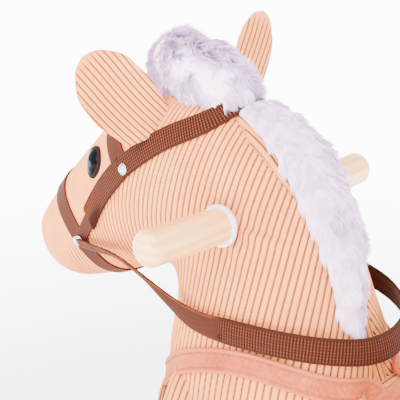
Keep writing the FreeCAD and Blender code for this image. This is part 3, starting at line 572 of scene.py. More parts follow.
def unrolled(p):
    """Side view of a closed grid as if its cloth were pulled flat, and the distance round from
    its first column. Millimetres."""
    step = np.linalg.norm(np.roll(p, -1, 1) - p, axis=-1) / MM
    columns = p.shape[1]
    reach = np.concatenate([np.zeros((len(p), 1)), np.cumsum(step[:, :columns // 2], 1)], 1)
    reach = np.concatenate([reach, reach[:, -2:0:-1]], 1)
    side = columns // 4
    y, z = side_view(p)
    dy, dz = y[:, 0] - y[:, columns // 2], z[:, 0] - z[:, columns // 2]
    size = np.hypot(dy, dz) + 1e-6
    s = reach[:, side:side + 1] - reach
    return y[:, side, None] + (dy / size)[:, None] * s, z[:, side, None] + (dz / size)[:, None] * s, reach


def wale_lines(y, z):
    """Number of ribs from the handles' line, leaning back above it and following the jaw below."""
    c = np.array(y)
    for _ in range(5):
        upper = np.interp(c, [-220, -130, -60, 20, 90], [0.50, 0.42, 0.27, 0.20, 0.12])
        lower = np.interp(c, [-170, -110, -60, 0, 90], [-0.35, -0.1, 0.12, 0.10, 0.03])
        rise = z - 450
        above = 0.5 * (rise + np.sqrt(rise ** 2 + 900))
        c = y - upper * above + lower * (above - rise)
    return c / WALE


fine = finer(neck, 540, 448, True)
y, z = side_view(fine)
flat_y, flat_z, from_crest = unrolled(fine)
ahead = (y + 110) * -0.774 + (z - 473) * 0.634
rib = 1 - 0.9 * ease(-2, 16, ahead) * ease(-40, -70, y)
rib *= ease(-226, -190, y) * 0.6 + 0.4
seam = np.interp(z, [380, 430, 460, 474, 486, 500, 512, 530], [6, 8, 17, 25, 29, 31, 31, 20])
gusset = (from_crest < seam) & (y > -60)
wale = np.where(gusset, from_crest / WALE + 0.5, wale_lines(flat_y, flat_z))
depth = np.exp(-((from_crest - seam) / 1.6) ** 2) * ease(-66, -40, y) * 0.0014
depth += np.exp(-((from_crest - seam - 4.5) / 1.2) ** 2) * ease(-66, -40, y) * 0.0006
half = from_crest[:, fine.shape[1] // 2, None]
depth += np.exp(-((half - from_crest) / 1.8) ** 2) * 0.0012
dy, dz = y - 0, z - 449
spread, turn = np.hypot(dy, dz), np.arctan2(dz, dy)
pucker = np.cos(turn * 7 + 0.6) * np.exp(-((spread - 21) / 9) ** 2) * 0.0009
pleat = np.exp(-((dz - 6 + dy * 0.12) / 2.4) ** 2) * ease(14, 22, dy) * ease(62, 38, dy) * 0.0015
ridge = np.exp(-((dz - 0.5 + dy * 0.12) / 4.0) ** 2) * ease(14, 22, dy) * ease(66, 40, dy) * 0.0014
near_side = fine[..., 0] > 0
fine = fine + grid_normals(fine, True) * (pucker + (ridge - pleat) * near_side - depth)[..., None]
fine = ribbed(fine, wale, rib)
cover = add_grid("head_and_neck_cover", fine, True, corduroy, {"wale": wale, "rib": rib})
settle(cover, "horse", "corduroy", "head_neck_cover")

fine = finer(barrel, 500, 200, True)
y, z = side_view(fine)
along = np.concatenate([[0], np.cumsum(np.linalg.norm(np.diff(fine, axis=0), axis=-1).mean(1))]) / MM
rump = y > 250
wale = np.where(rump, fine[..., 0] / MM / WALE, along[:, None] / WALE * np.ones_like(y))
rib = np.ones_like(y)
depth = np.exp(-((y - 250) / 1.8) ** 2) * 0.0014
fine = ribbed(fine - grid_normals(fine, True) * depth[..., None], wale, rib)
torso = add_grid("body_cover", fine, True, corduroy, {"wale": wale, "rib": rib})
settle(torso, "horse", "corduroy", "torso_cover")


# ---------------------------------------------------------------- straps
def cast(tree, y, z, side):
    """Outermost place of a surface at a point of the side view, or None."""
    found = tree.ray_cast(Vector((side * 0.4, y, z)), Vector((-side, 0, 0)))
    return found[0]


def surface_line(tree, line, side):
    """Points on a surface under a line of the side view, until the line leaves it."""
    points = np.array([side_point(*p)[1:] for p in line])
    knots = np.concatenate([[0], np.cumsum(np.linalg.norm(np.diff(points, axis=0), axis=1))])
    found = []
    for y, z in spline(knots, points, np.linspace(0, knots[-1], 300)):
        hit = cast(tree, y, z, side)
        if hit is None:
            break
        found.append(tuple(hit))
    return np.array(found)


def across_line(tree, line):
    """The line on both sides of the horse, joined over its middle."""
    left, right = surface_line(tree, line, 1), surface_line(tree, line, -1)
    return np.concatenate([left, right[::-1]])


def webbing_weave(s, t, half):
    """Height in mm and painted brightness, light and shade, of woven ribs at s along and t across, in mm."""
    over = 0.5 + 0.5 * np.cos(2 * math.pi * s / 2.4)
    rows = 0.5 + 0.5 * np.cos(2 * math.pi * t / 2.3)
    lit = over * (0.45 + 0.55 * rows)
    selvage = ease(half - 1.6, half - 0.7, abs(t))
    lit = lit * (1 - selvage) + selvage * (0.35 + 0.25 * np.cos(2 * math.pi * s / 1.2))
    return 0.42 * lit, lit


def twill_weave(s, t, half):
    """A finer, flatter weave on the diagonal, with a folded raised edge that carries a painted highlight."""
    lit = 0.42 + 0.3 * np.cos(2 * math.pi * (s + t) / 2.1) + 0.16 * np.cos(2 * math.pi * (s - t) / 2.3)
    edge = ease(half - 2.0, half - 0.9, abs(t))
    return 0.22 * lit + 0.25 * edge, lit + 0.3 * edge


def smooth_weave(s, t, half):
    """A leather-like tape: even, with a faint grain and a painted highlight on its raised edges."""
    edge = ease(half - 1.4, half - 0.5, abs(t))
    return 0.1 * edge, 0.47 + 0.22 * edge + 0.03 * np.sin(s * 2.1)


def suede_weave(s, t, half):
    """Suede with both edges rolled over and a sunk line of stitches along each; the second value paints a highlight on
    the rolls.
    """
    roll = ease(half - 3.4, half - 1.5, abs(t))
    seam = np.exp(-((abs(t) - (half - 3.9)) / 0.5) ** 2)
    return 1.1 * roll - 0.7 * seam, roll


def smoothed(v, times):
    v = np.array(v)
    for _ in range(times):
        v[1:-1] = (v[:-2] + 2 * v[1:-1] + v[2:]) / 4
    return v


def tape(name, top, out, bottom, weave, material, field="lit", step=0.4, slant=0.0, wide=0.55):
    """Closed flat strap between coarse grids of its top and bottom faces. out points outwards."""
    length, width = line_length(top[:, top.shape[1] // 2]), line_length(top[len(top) // 2])
    rows, columns = max(12, int(length / MM / step)), max(9, int(width / MM / wide) | 1)
    top, out, bottom = (finer(v, rows, columns) for v in (top, out, bottom))
    s = np.linspace(0, length / MM, rows)[:, None]
    half = width / MM / 2
    t = np.linspace(-half, half, columns)[None]
    height, lit = weave(s, t, half)
    height, lit = (np.broadcast_to(v, (rows, columns)) for v in (height, lit))
    wear_and_edge_highlight = np.exp(-((half - abs(t)) / 0.5) ** 2)
    top = top + unit(out) * ((height - 0.35 * wear_and_edge_highlight) * MM)[..., None]
    if slant:
        shift = (t / half) * slant * MM * ease(0.5, 1.0, s / s.max())
        along = unit(np.gradient(top, axis=0))
        top, bottom = top + along * shift[..., None], bottom + along * shift[..., None]
    under = bottom[:, ::-1]
    p = np.concatenate([top, under[:, ::2]], 1)
    # Painted shade: the underside face takes half the top's value, so webbing is painted darker underneath and suede
    # carries less edge highlight there.
    lit = np.concatenate([lit, lit[:, ::-1][:, ::2] * 0.5], 1)
    middle = columns // 2
    if (grid_normals(p, True)[:, middle] * out[:, middle]).sum() < 0:
        p, lit = p[:, ::-1], lit[:, ::-1]
    ends = [p[:1].mean(1, keepdims=True), p[-1:].mean(1, keepdims=True)]
    p = np.concatenate([ends[0] + 0 * p[:1], p, ends[1] + 0 * p[-1:]])
    lit = np.concatenate([lit[:1], lit, lit[-1:]])
    return add_grid(name, p, True, material, {field: lit})


def wrap(name, path, width, thick, tree, weave, material, field="lit", gap=0.5, slant=0.0,
         narrow=None):
    """Strap that lies on a surface along a path."""
    count = int(line_length(path) / 0.004) + 3
    path = smoothed(resample(path, count), 2)
    path, out = nearest(tree, path)
    path, out = smoothed(path, 2), unit(smoothed(out, 3))
    side = unit(np.cross(unit(np.gradient(path, axis=0)), out))
    spread = np.linspace(-1, 1, 9)[None, :, None] * width / 2 * MM
    if narrow is not None:
        spread = spread * np.interp(np.linspace(0, 1, count), *narrow)[:, None, None]
    places, out = nearest(tree, path[:, None] + side[:, None] * spread)
    out = unit(out)
    for _ in range(2):
        out[1:-1] = unit(out[:-2] + 2 * out[1:-1] + out[2:])
        places[1:-1] = (places[:-2] + 2 * places[1:-1] + places[2:]) / 4
    return tape(name, places + out * (gap + thick) * MM, out, places + out * gap * MM, weave,
                material, field, slant=slant)


def stitches(name, path, out, pitch=3.2, length=2.1, radius=0.32):
    """A row of short thread capsules along a path."""
    total = line_length(path)
    count = max(2, int(total / MM / pitch))
    path, out = resample(path, count * 2), resample(out, count * 2)
    points, faces, start = [], [], 0
    rounds = [(-0.5, 0.25), (-0.36, 0.9), (0.36, 0.9), (0.5, 0.25)]
    for k in range(0, len(path) - 1, 2):
        way = unit(path[min(k + 1, len(path) - 1)] - path[k])
        up = unit(out[k])
        side = np.cross(way, up)
        for at, wide in rounds:
            lift = up * (radius * (1.2 if wide > 0.5 else -0.6)) * MM
            for a in range(6):
                turn = 2 * math.pi * a / 6
                points.append(path[k] + way * at * length * MM + lift
                              + (side * math.cos(turn) + up * math.sin(turn)) * radius * wide * MM)
        for ring in range(3):
            for a in range(6):
                b = (a + 1) % 6
                first, second = start + ring * 6, start + ring * 6 + 6
                faces.append((first + a, first + b, second + b, second + a))
        start += 24
    return add_mesh(name, points, faces, thread)


def strap(name, path, width, weave, nodes, thick=1.7, **more):
    made = wrap(name, path, width, thick, neck_tree, weave, webbing, **more)
    return settle(made, "horse", "brown_webbing", *nodes)


crown_path = across_line(neck_tree, CROWN_LINE)
crown_path = smoothed(resample(crown_path, 90), 40)
strap("crown_webbing", crown_path, 18.5, webbing_weave, ["crown_strap"], gap=0.7)
brow_path = across_line(neck_tree, BROW_LINE)
strap("brow_tape", brow_path, 20, smooth_weave, ["browband"], thick=1.4,
      narrow=([0, 0.12, 0.5, 0.88, 1], [1, 0.95, 0.6, 0.95, 1]))
for name, side in SIDES.items():
    line = surface_line(neck_tree, CHEEK_LINE, side)
    cut = int(len(line) * 0.70)
    strap("cheek_webbing_" + name, line[:cut], 20, webbing_weave, ["cheek_strap_" + name],
          gap=1.0, slant=-3.5 * side)
    strap("cheek_tab_" + name, line[int(len(line) * 0.5):], 13, smooth_weave, [], thick=1.5)
strap("nose_tape", across_line(neck_tree, NOSE_LINE), 19, smooth_weave, ["noseband"], thick=1.5)
strap("chin_tape", across_line(neck_tree, CHIN_LINE), 19, smooth_weave, ["chin_strap"], thick=1.5)

breast_path = np.concatenate([surface_line(all_tree, BREAST_LINE[::-1], 1),
                              surface_line(all_tree, BREAST_LINE[::-1], -1)[::-1]])
breast = wrap("breast_strap_suede", breast_path, 19, 2.0, all_tree, suede_weave, suede, "edge")
settle(breast, "horse", "peach_suede", "breast_strap")


def on_strap(path, offset, tree, lift):
    """A line beside a strap's middle, offset across it, and the outward directions."""
    path = smoothed(resample(path, int(line_length(path) / 0.004)), 2)
    path, out = nearest(tree, path)
    path, out = smoothed(path, 2), unit(smoothed(out, 3))
    side = unit(np.cross(unit(np.gradient(path, axis=0)), out))
    places, out = nearest(tree, path + side * offset * MM)
    return places + unit(out) * lift * MM, unit(out)


for number, offset in enumerate((-5.6, 5.6)):
    row = stitches("breast_stitches_%d" % (number + 1), *on_strap(breast_path, offset, all_tree, 1.9))
    settle(row, "horse", "peach_suede")

# ---------------------------------------------------------------- rein
REIN_WIDTH, REIN_THICK = 20, 2.0
# x, y from the handles' line, z, then the direction of the strap's width there.
REIN_ROUTE = [
    (47, -178, 388, (0.5, 0.5, 0.8)), (52, -150, 391, (0.62, 0.4, 0.75)),
    (55, -118, 395, (0.72, 0.4, 0.6)), (57, -85, 387, (0.66, 0.3, 0.7)),
    (59, -50, 374, (0.1, 0.25, 0.97)), (67, -14, 370, (-0.1, 0.15, 0.98)),
    (68, 30, 375, (-0.15, 0.0, 0.98)), (62, 68, 377, (-0.15, -0.05, 0.98)),
    (44, 98, 375, (-0.12, -0.15, 0.98)), (16, 117, 371, (-0.05, -0.3, 0.95)),
    (-18, 119, 371, (0.05, -0.3, 0.95)), (-47, 108, 375, (0.1, -0.2, 0.97)),
    (-67, 84, 381, (0.15, -0.1, 0.98)), (-74, 50, 387, (0.12, 0.0, 0.98)),
    (-74, 12, 391, (0.1, 0.1, 0.98)), (-70, -30, 392, (0.05, 0.15, 0.98)),
    (-63, -75, 390, (0.0, 0.1, 1.0)), (-56, -118, 389, (-0.1, 0.2, 0.97)),
    (-51, -150, 387, (-0.15, 0.3, 0.95)), (-47, -178, 388, (-0.2, 0.5, 0.85)),
]
curve = bpy.data.curves.new("rein_line", "CURVE")
curve.dimensions = "3D"
route = curve.splines.new("NURBS")
route.points.add(len(REIN_ROUTE) - 1)
for point, (x, y, z, _) in zip(route.points, REIN_ROUTE):
    point.co = (*side_point(y, z, x), 1)
route.order_u = 3
route.use_endpoint_u = True
route.resolution_u = 12
curve_object = bpy.data.objects.new("rein_line", curve)
bpy.context.scene.collection.objects.link(curve_object)
read = bpy.data.meshes.new_from_object(curve_object)
rein_path = np.array([tuple(v.co) for v in read.vertices])
bpy.data.objects.remove(curve_object)
rein_path = resample(rein_path, 170)
place = np.linspace(0, 1, len(rein_path))
stations = np.array([side_point(y, z, x) for x, y, z, _ in REIN_ROUTE])
reach = np.concatenate([[0], np.cumsum(np.linalg.norm(np.diff(stations, axis=0), axis=1))])
width_way = spline(reach / reach[-1], np.array([w for *_, w in REIN_ROUTE]), place)
ahead = unit(np.gradient(rein_path, axis=0))
width_way = unit(width_way - ahead * (width_way * ahead).sum(1, keepdims=True))
out = unit(np.cross(width_way, ahead))
centre = np.array([0, HANDLE_Y + 0.01, 0.38])
if ((rein_path - centre) * out).sum() < 0:
    out = -out
out_way = out
spread = np.linspace(-1, 1, 7)
crown = (1 - spread ** 2) * 0.9 * MM
half = REIN_WIDTH / 2 * np.interp(place, [0, 0.03, 0.08, 0.15, 0.19, 0.24, 0.3, 0.9, 1], [0.45, 0.5, 0.5, 0.42, 0.5, 0.8, 1, 1, 0.6])
faces = (rein_path[:, None] + width_way[:, None] * spread[None, :, None] * half[:, None, None] * MM
         + out[:, None] * crown[None, :, None])
outs = np.repeat(out[:, None], 7, 1)


def rein_weave(s, t, half):
    fine, fine_lit = twill_weave(s, t, half)
    coarse, coarse_lit = webbing_weave(s, t, half)
    change = ease(0.275, 0.295, s / s.max()) * np.ones_like(t)
    return fine * (1 - change) + coarse * change, fine_lit * (1 - change) + coarse_lit * change


rein = tape("rein_band", faces + outs * REIN_THICK / 2 * MM, outs, faces - outs * REIN_THICK / 2 * MM,
            rein_weave, webbing, step=0.5, wide=0.9)
settle(rein, "horse", "brown_webbing", "rein")


# ---------------------------------------------------------------- eyes
def polar(radii, heights, outline, origin, u, v, n, count=72):
    """Grid of rings inside an outline, rising along n."""
    a = np.linspace(0, 2 * math.pi, count, endpoint=False)
    flat = outline(a)
    return (origin + (u * flat[:, :1] + v * flat[:, 1:])[None] * radii[:, None, None]
            + n * heights[:, None, None])


def almond(a):
    """Outline of the eye in metres: round above, drawn to a point below."""
    x, y = np.cos(a), np.sin(a)
    pinch = np.where(y > 0, 1 - 0.12 * abs(y) ** 3, 1 - 0.3 * abs(y) ** 2.2)
    return np.stack([x * 10.2 * pinch, y * np.where(y > 0, 11.4, 12.4)], 1) * MM


for name, side in SIDES.items():
    spot = cast(neck_tree, HANDLE_Y + EYE[0] * MM, EYE[1] * MM, side)
    place, n = nearest(neck_tree, np.array([tuple(spot)]))
    place, n = place[0], unit(n[0])
    v = unit(np.array([0, -0.16, 1.0]) - n * np.dot(n, [0, -0.16, 1.0]))
    u = np.cross(v, n)
    r = np.sin(np.linspace(0.02, math.pi / 2, 22))
    dome = polar(r, 0.0052 * np.sqrt(1 - r ** 2) ** 1.1 + 0.0008, almond, place, u, v, n)
    rim_r = np.array([0.9, 0.98, 1.06, 1.14, 1.2, 1.2])
    rim_h = np.array([0.4, 2.0, 2.5, 2.0, 0.9, -1.5]) * MM
    rim = polar(rim_r, rim_h, almond, place, u, v, n)
    if (grid_normals(dome, True)[10] * n).sum() < 0:
        dome, rim = dome[::-1], rim[::-1]
    across, up = ((dome - place) * u).sum(-1) / MM, ((dome - place) * v).sum(-1) / MM
    facing = across * (1 if np.dot(u, [0, 1, 0]) > 0 else -1)
    # Painted reflection: a soft bluish-grey spot below the eye's middle and off to one side.
    painted_reflection_spot = ease(4.2, 2.2, np.hypot(facing - 1.8, (up + 2.6) * 0.85))
    glossy = add_grid("eye_dome_" + name, dome, True, eye_black, {"painted_reflection_spot": painted_reflection_spot})
    settle(glossy, "horse", "eye_gloss", "eye_" + name)
    ring = add_grid("eye_rim_" + name, rim, True, felt)
    settle(ring, "horse", "eye_rim_felt", *(["eye_rims"] if side > 0 else []))


# ---------------------------------------------------------------- rivets and rein hole
def lathed(name, centre, n, profile, material, sides=48):
    """Turned piece: (radius, height) steps in mm about a centre, rising along n."""
    n = unit(np.asarray(n, float))
    u = unit(np.cross(n, np.array([0.1, 1.0, 0.2])))
    v = np.cross(n, u)
    a = np.linspace(0, 2 * math.pi, sides, endpoint=False)[None, :, None]
    r, h = (np.array(c, float)[:, None, None] * MM for c in zip(*profile))
    return add_grid(name, np.asarray(centre) + (u * np.cos(a) + v * np.sin(a)) * r + n * h, True, material)


DOME = [(4.9, -3.5), (4.9, 0.0), (4.75, 0.35), (4.4, 0.5), (4.2, 0.5)]
DOME += [(4.1 * math.cos(a), 0.5 + 2.2 * math.sin(a)) for a in np.linspace(0.05, math.pi / 2 - 0.02, 12)]
for node, (y, z), rise in (("brow_rivets", (UPPER_RIVET[0] + 4, UPPER_RIVET[1]), 2.9),
                           ("bit_rivets", BIT_RIVET, 5.6)):
    made = []
    for name, side in SIDES.items():
        spot = cast(neck_tree, HANDLE_Y + y * MM, z * MM, side)
        spot, n = nearest(neck_tree, np.array([tuple(spot)]))
        n = unit(n[0])
        if node == "bit_rivets":
            n = unit(n + np.array([side * 0.2, 0.45, 0.1]))
        made.append(lathed("%s_%s" % (node[:-1], name), spot[0] + n * rise * MM, n, DOME, chrome))
    settle(made[0], "horse", "bright_metal", node)
    settle(made[1], "horse", "bright_metal")

hole_at = int(len(rein_path) * 0.292)
hole = lathed("rein_hole", rein_path[hole_at] - width_way[hole_at] * 0.0045 * np.sign(width_way[hole_at, 2]),
              out_way[hole_at],
              [(2.3, 0.4), (2.3, 2.1), (2.0, 2.35), (1.7, 2.2), (1.3, 1.75), (0.7, 1.6), (0.05, 1.6)], felt, 32)
settle(hole, "horse", "eye_rim_felt")

# ---------------------------------------------------------------- ears
def ear(name, base, tip, facing, width, curl, foot=-10, skew=0):
    base, tip, facing = (np.array(p, float) for p in (base, tip, facing))
    length = np.linalg.norm(tip - base)
    way = (tip - base) / length
    n = unit(facing - way * np.dot(facing, way))
    side = np.cross(way, n)
    rows, columns = 26, 40
    v = np.sin(np.linspace(-0.2, math.pi / 2, rows))
    v = foot + (v - v[0]) / (1 - v[0]) * (length / MM - foot)
    shape_v = np.array([-10, 0.18 * length / MM, 0.35 * length / MM, 0.55 * length / MM,
                        0.78 * length / MM, 0.9 * length / MM, 0.97 * length / MM, length / MM + 0.5])
    half = spline(shape_v, np.array([19, 23.5, 26.5, 27, 23.5, 16.5, 9.0, 0.5]) * width, v)
    thick = np.interp(v, [-10, 10, 60, length / MM], [3.6, 4.2, 3.8, 2.6])
    a = np.linspace(0, 2 * math.pi, columns, endpoint=False)
    c, s = np.cos(a), np.sin(a)
    x = np.sign(c) * abs(c) ** 0.8 * half[:, None]
    h = np.sign(s) * abs(s) ** 0.75 * np.minimum(thick, half)[:, None]
    bend = curl * (x / 28.0) ** 2 - 3.0 * ease(30, 90, v)[:, None]
    rise = (v[:, None] - foot) / (length / MM - foot)
    oblique = skew * np.maximum(-x / 24, 0) * (1 - rise) ** 2
    x = x * (1 + 0.022 * skew * (x < 0) * (1 - rise) ** 1.5)
    p = base + (side * x[..., None] + way * (v[:, None] + oblique)[..., None]
                + n * (h + bend)[..., None]) * MM
    loose = abs(s)[None, :] * np.ones_like(x)
    loose[:3] = loose[-2:] = 0
    p = puff(p, loose, cap=0.0018, pressure=3.0)
    fine = finer(p, 130, 300, True)
    if (grid_normals(fine, True) * (fine - fine.mean(1, keepdims=True))).sum() < 0:
        fine = fine[:, ::-1]
    local = fine - base
    x, v = (local * side).sum(-1) / MM, (local * way).sum(-1) / MM
    wide = np.abs(x).max(1, keepdims=True) + 0.1
    wale = (x + 1.2 * np.sin(v / 17)) / 4.7 * (1 + 0.08 * (1 - v / 80))
    rib = ease(1.0, 0.94, abs(x) / wide) * ease(81, 70, v)
    depth = np.exp(-((abs(x) / wide - 0.93) * wide / 1.4) ** 2) * 0.0005 * ease(79, 70, v)
    fine = ribbed(fine - grid_normals(fine, True) * depth[..., None], wale, rib, 0.001)
    made = add_grid(name + "_padded", fine, True, corduroy, {"wale": wale, "rib": rib})
    return settle(made, "horse", "corduroy", name)


ear("ear_left", (0.0424, HANDLE_Y - 0.0816, 0.509), (0.0784, HANDLE_Y - 0.1226, 0.567),
    (0.55, 0.62, 0.2), 1.0, 4.0, -5, 12)
ear("ear_right", (-0.038, HANDLE_Y - 0.063, 0.520), (-0.081, HANDLE_Y - 0.0685, 0.592),
    (0.35, 0.95, 0), 0.68, 4.0)


# ---------------------------------------------------------------- fur
def strands(name, roots, first, second, length, width, tone_and_root_shade, outward, body, slot, *nodes):
    """Thin tapered hairs, each bent from its first direction towards its second, their flat sides
    turned outwards."""
    count = len(roots)
    rng = np.random.default_rng(len(name) + count)
    turn = unit(np.cross(first, unit(outward + 0.35 * rng.normal(size=(count, 3)))))
    steps = np.array([0, 0.3, 0.6, 0.85, 1.0])
    rows = []
    for t in steps[:-1]:
        centre = roots + length[:, None] * (first * (t - t * t / 2) + second * t * t / 2)
        wide = width[:, None] * (1 - t) ** 0.6 / 2
        rows += [centre - turn * wide, centre + turn * wide]
    rows.append(roots + length[:, None] * (first + second) / 2)
    points = np.stack(rows, 1)
    quads = [(0, 1, 3, 2), (2, 3, 5, 4), (4, 5, 7, 6)]
    hair = [(a, b, c) for a, b, c, d in quads] + [(a, c, d) for a, b, c, d in quads] + [(6, 7, 8)]
    # Painted shade: each hair is darker at its root and lighter towards its tip, mixed with its random tone.
    shade = np.stack([0.62 * tone_and_root_shade + 0.38 * t for t in np.repeat(steps, 2)[:9]], 1)
    upright = abs((first * outward).sum(1, keepdims=True))
    shading = unit(outward * (1.05 - upright) + unit(np.cross(turn, first)) * upright
                   + 0.15 * rng.normal(size=(count, 3)))
    normals = np.repeat(shading[:, None], 9, 1)
    limit = TRIANGLES // len(hair)
    made = []
    for start in range(0, count, limit):
        own = slice(start, min(start + limit, count))
        size = own.stop - own.start
        faces = (np.arange(size)[:, None, None] * 9 + np.array(hair)).reshape(-1, 3)
        made.append(add_mesh("%s_%d" % (name, len(made) + 1), points[own].reshape(-1, 3), faces,
                             fur_white, normals[own].reshape(-1, 3), {"tone_and_root_shade": shade[own].reshape(-1)}))
    for part in made[1:]:
        part.parent = made[0]
    return settle(made[0], body, slot, *nodes)


def tufted(roots, out, swirl, size, seed):
    """Directions of hairs gathered in tufts of about a size."""
    lean = np.stack([wander(roots, size, seed + k) for k in range(3)], -1)
    fine = np.stack([wander(roots, size / 3, seed + 5 + k) for k in range(3)], -1)
    return unit(out + swirl * (lean + 0.5 * fine))


def on_ball(count, seed):
    rng = np.random.default_rng(seed)
    return unit(rng.normal(size=(count, 3)))


# Forelock: a round woolly cap over the poll, its lowest locks falling over the crown strap.
rng = np.random.default_rng(11)
middle, radii = np.array([0.001, HANDLE_Y - 0.067, 0.5485]), np.array([0.028, 0.050, 0.025])
tilt = math.radians(-19)
turn = np.array([[1, 0, 0], [0, math.cos(tilt), -math.sin(tilt)], [0, math.sin(tilt), math.cos(tilt)]])
ball = on_ball(90000, 5)
roots = middle + (ball * radii) @ turn.T
out = unit((ball / radii) @ turn.T)
roots += out * (wander(roots, 0.014, 7) * 0.004 - 0.001)[:, None]
close, facing = nearest(neck_tree, roots)
keep = ((roots - close) * facing).sum(1) > 0.0015
roots, out = roots[keep][:54000], out[keep][:54000]
rear = ease(-0.01, 0.045, roots[:, 1] - middle[1]) * ease(0.012, -0.012, roots[:, 2] - middle[2])
comb = unit(np.array([0.45, 0.75, -0.45]) + 0 * out)
comb = comb - out * (comb * out).sum(1, keepdims=True)
first = tufted(roots, unit(out * 0.55 + comb * 0.7), 0.85, 0.011, 21)
second = unit(tufted(roots, out * 0.35 + comb * 0.6, 0.7, 0.009, 31)
              + np.array([0, 0.05, -0.2]) + rear[:, None] * np.array([0, 0.5, -1.0]))
length = 0.0095 + 0.004 * rng.random(len(roots)) + 0.002 * wander(roots, 0.012, 8) + 0.008 * rear
strands("forelock_hair", roots, first, second, length, 0.0006 + 0.0003 * rng.random(len(roots)),
        rng.random(len(roots)), out, "horse", "white_fur", "forelock")
core = ring_grid([middle + np.array([0, 1, 0]) * radii[1] * t for t in (-0.97, -0.8, -0.4, 0, 0.4, 0.8, 0.97)],
                 [(radii[0] * s, 0, 0) for s in (0.1, 0.6, 0.92, 1, 0.92, 0.6, 0.1)],
                 [(0, 0, radii[2] * s) for s in (0.1, 0.6, 0.92, 1, 0.92, 0.6, 0.1)], 60, 80)
core = middle + (core - middle) @ turn.T
core += grid_normals(core, True) * (wander(core, 0.014, 9) * 0.0015)[..., None]
settle(add_grid("forelock_core", core, True, fur_white,
                {"tone_and_root_shade": 0.6 + 0.1 * wander(core, 0.006, 3)}), "horse", "white_fur")

# Mane: a strip of fur sewn down the crest, combed back and down, ending in a point on the left.
# Side-view place on the crest, middle off the crest, half width and thickness of the pile, mm.
MANE = [(-12, 532, 0, 20, 5), (5, 524, 0, 22, 7), (21, 514.5, 0, 23, 9), (36, 501.5, 0, 23, 8.5),
        (46.5, 490, 0.5, 22.5, 7), (57, 477, 1.5, 21, 6), (66, 461.5, 2, 21, 5), (74, 446, 3, 20.5, 4.5),
        (81, 430, 5, 17, 4), (87, 415, 8, 12.5, 3.5), (93, 400, 10.5, 8.5, 3), (99, 386, 11, 5, 2.5),
        (103, 377, 10, 2.5, 1.5)]
knots = np.linspace(0, 1, len(MANE))
mane_line = np.array([side_point(y, z, x) for y, z, x, *_ in MANE])


def on_mane(t, s, lift=1.0):
    """Place at t along the mane and s across it, the outward direction and the way of combing."""
    line = spline(knots, mane_line, t)
    wide, tall = (np.interp(t, knots, [m[k] for m in MANE]) * MM for k in (3, 4))
    place, n = nearest(neck_tree, line + np.array([1.0, 0, 0]) * (s * wide)[:, None])
    comb = spline(knots, mane_line, np.clip(t + 0.02, 0, 1)) - spline(knots, mane_line, np.clip(t - 0.02, 0, 1))
    comb = unit(comb - n * (comb * n).sum(1, keepdims=True))
    over = np.sqrt(np.maximum(1 - s ** 2, 0))
    out = unit(n * (0.35 + over[:, None]) + np.array([1.0, 0, 0]) * (s * 0.7)[:, None])
    return place + n * (over * tall * lift)[:, None], out, comb


count = 80000
t = rng.random(count) ** 1.05 * 0.99
s = rng.random(count) * 2 - 1
roots, out, comb = on_mane(t, s, 0.8)
lift = np.interp(t, [0, 0.1, 0.3, 0.6, 1], [0.9, 1.0, 0.75, 0.5, 0.25])[:, None]
first = tufted(roots, unit(out * lift + comb), 0.55, 0.013, 41)
second = tufted(roots, unit(comb + out * 0.22 * lift + np.array([0, 0, -0.15])), 0.6, 0.011, 51)
length = np.interp(t, [0, 0.15, 0.5, 0.8, 1], [0.012, 0.017, 0.018, 0.015, 0.010])
length = length * (0.75 + 0.4 * rng.random(count) + 0.25 * wander(roots, 0.010, 12))
strands("mane_hair", roots, first, second, length, 0.0006 + 0.0003 * rng.random(count),
        rng.random(count), out, "horse", "white_fur", "mane")
angle = np.linspace(0, 2 * math.pi, 48, endpoint=False)
core = []
for t in np.linspace(0, 1, 110):
    place, out, _ = on_mane(np.full(48, t), np.cos(angle), 0.85)
    under, n = nearest(neck_tree, place)
    core.append(np.where(np.sin(angle)[:, None] >= 0, place, under - n * 0.001))
core = np.array(core)
if (grid_normals(core, True)[40:60, 12] * np.array([0, 0.7, 0.7])).sum() < 0:
    core = core[:, ::-1]
settle(add_grid("mane_core", core, True, fur_white, {"tone_and_root_shade": 0.6 + 0.1 * wander(core, 0.006, 4)}),
       "horse", "white_fur")

# Tail: a soft switch on its root, hanging behind the rump.
TAIL_LINE = [(292, 293, 7), (296, 279, 10), (301, 258, 13), (304, 222, 15), (303, 180, 14),
             (300, 148, 10), (298, 128, 3)]
tail_line = np.array([side_point(y, z) for y, z, _ in TAIL_LINE])
tail_radius = np.array([r for *_, r in TAIL_LINE]) * MM
knots = np.linspace(0, 1, len(TAIL_LINE))
count = 54000
t = rng.random(count) * 0.97
line = spline(knots, tail_line, t)
ahead = unit(spline(knots, tail_line, np.clip(t + 0.01, 0, 1)) - spline(knots, tail_line, np.clip(t - 0.01, 0, 1)))
swing = rng.random(count) * 2 * math.pi
across = np.array([1.0, 0, 0])
outward = np.cross(across, ahead)
out = across * np.cos(swing)[:, None] + outward * np.sin(swing)[:, None]
roots = line + out * np.interp(t, knots, tail_radius)[:, None]
first = tufted(roots, unit(out * 0.5 + ahead), 0.35, 0.014, 61)
second = tufted(roots, unit(ahead - out * 0.05), 0.4, 0.012, 71)
length = np.interp(t, [0, 0.2, 0.8, 1], [0.018, 0.03, 0.026, 0.010]) * (0.7 + 0.5 * rng.random(count))
strands("tail_hair", roots, first, second, length, 0.0007 + 0.0003 * rng.random(count),
        rng.random(count), out, "tail", "white_fur", "tail")
core = ring_grid(tail_line, across * tail_radius[:, None], np.array([0, 1.0, 0]) * tail_radius[:, None], 90, 60)
settle(add_grid("tail_core", core, True, fur_white, {"tone_and_root_shade": 0.6 + 0.1 * wander(core, 0.006, 5)}),
       "tail", "white_fur")

# ---------------------------------------------------------------- legs and hooves
LEG_Y = {"front": HANDLE_Y - 0.046, "rear": HANDLE_Y + 0.212}
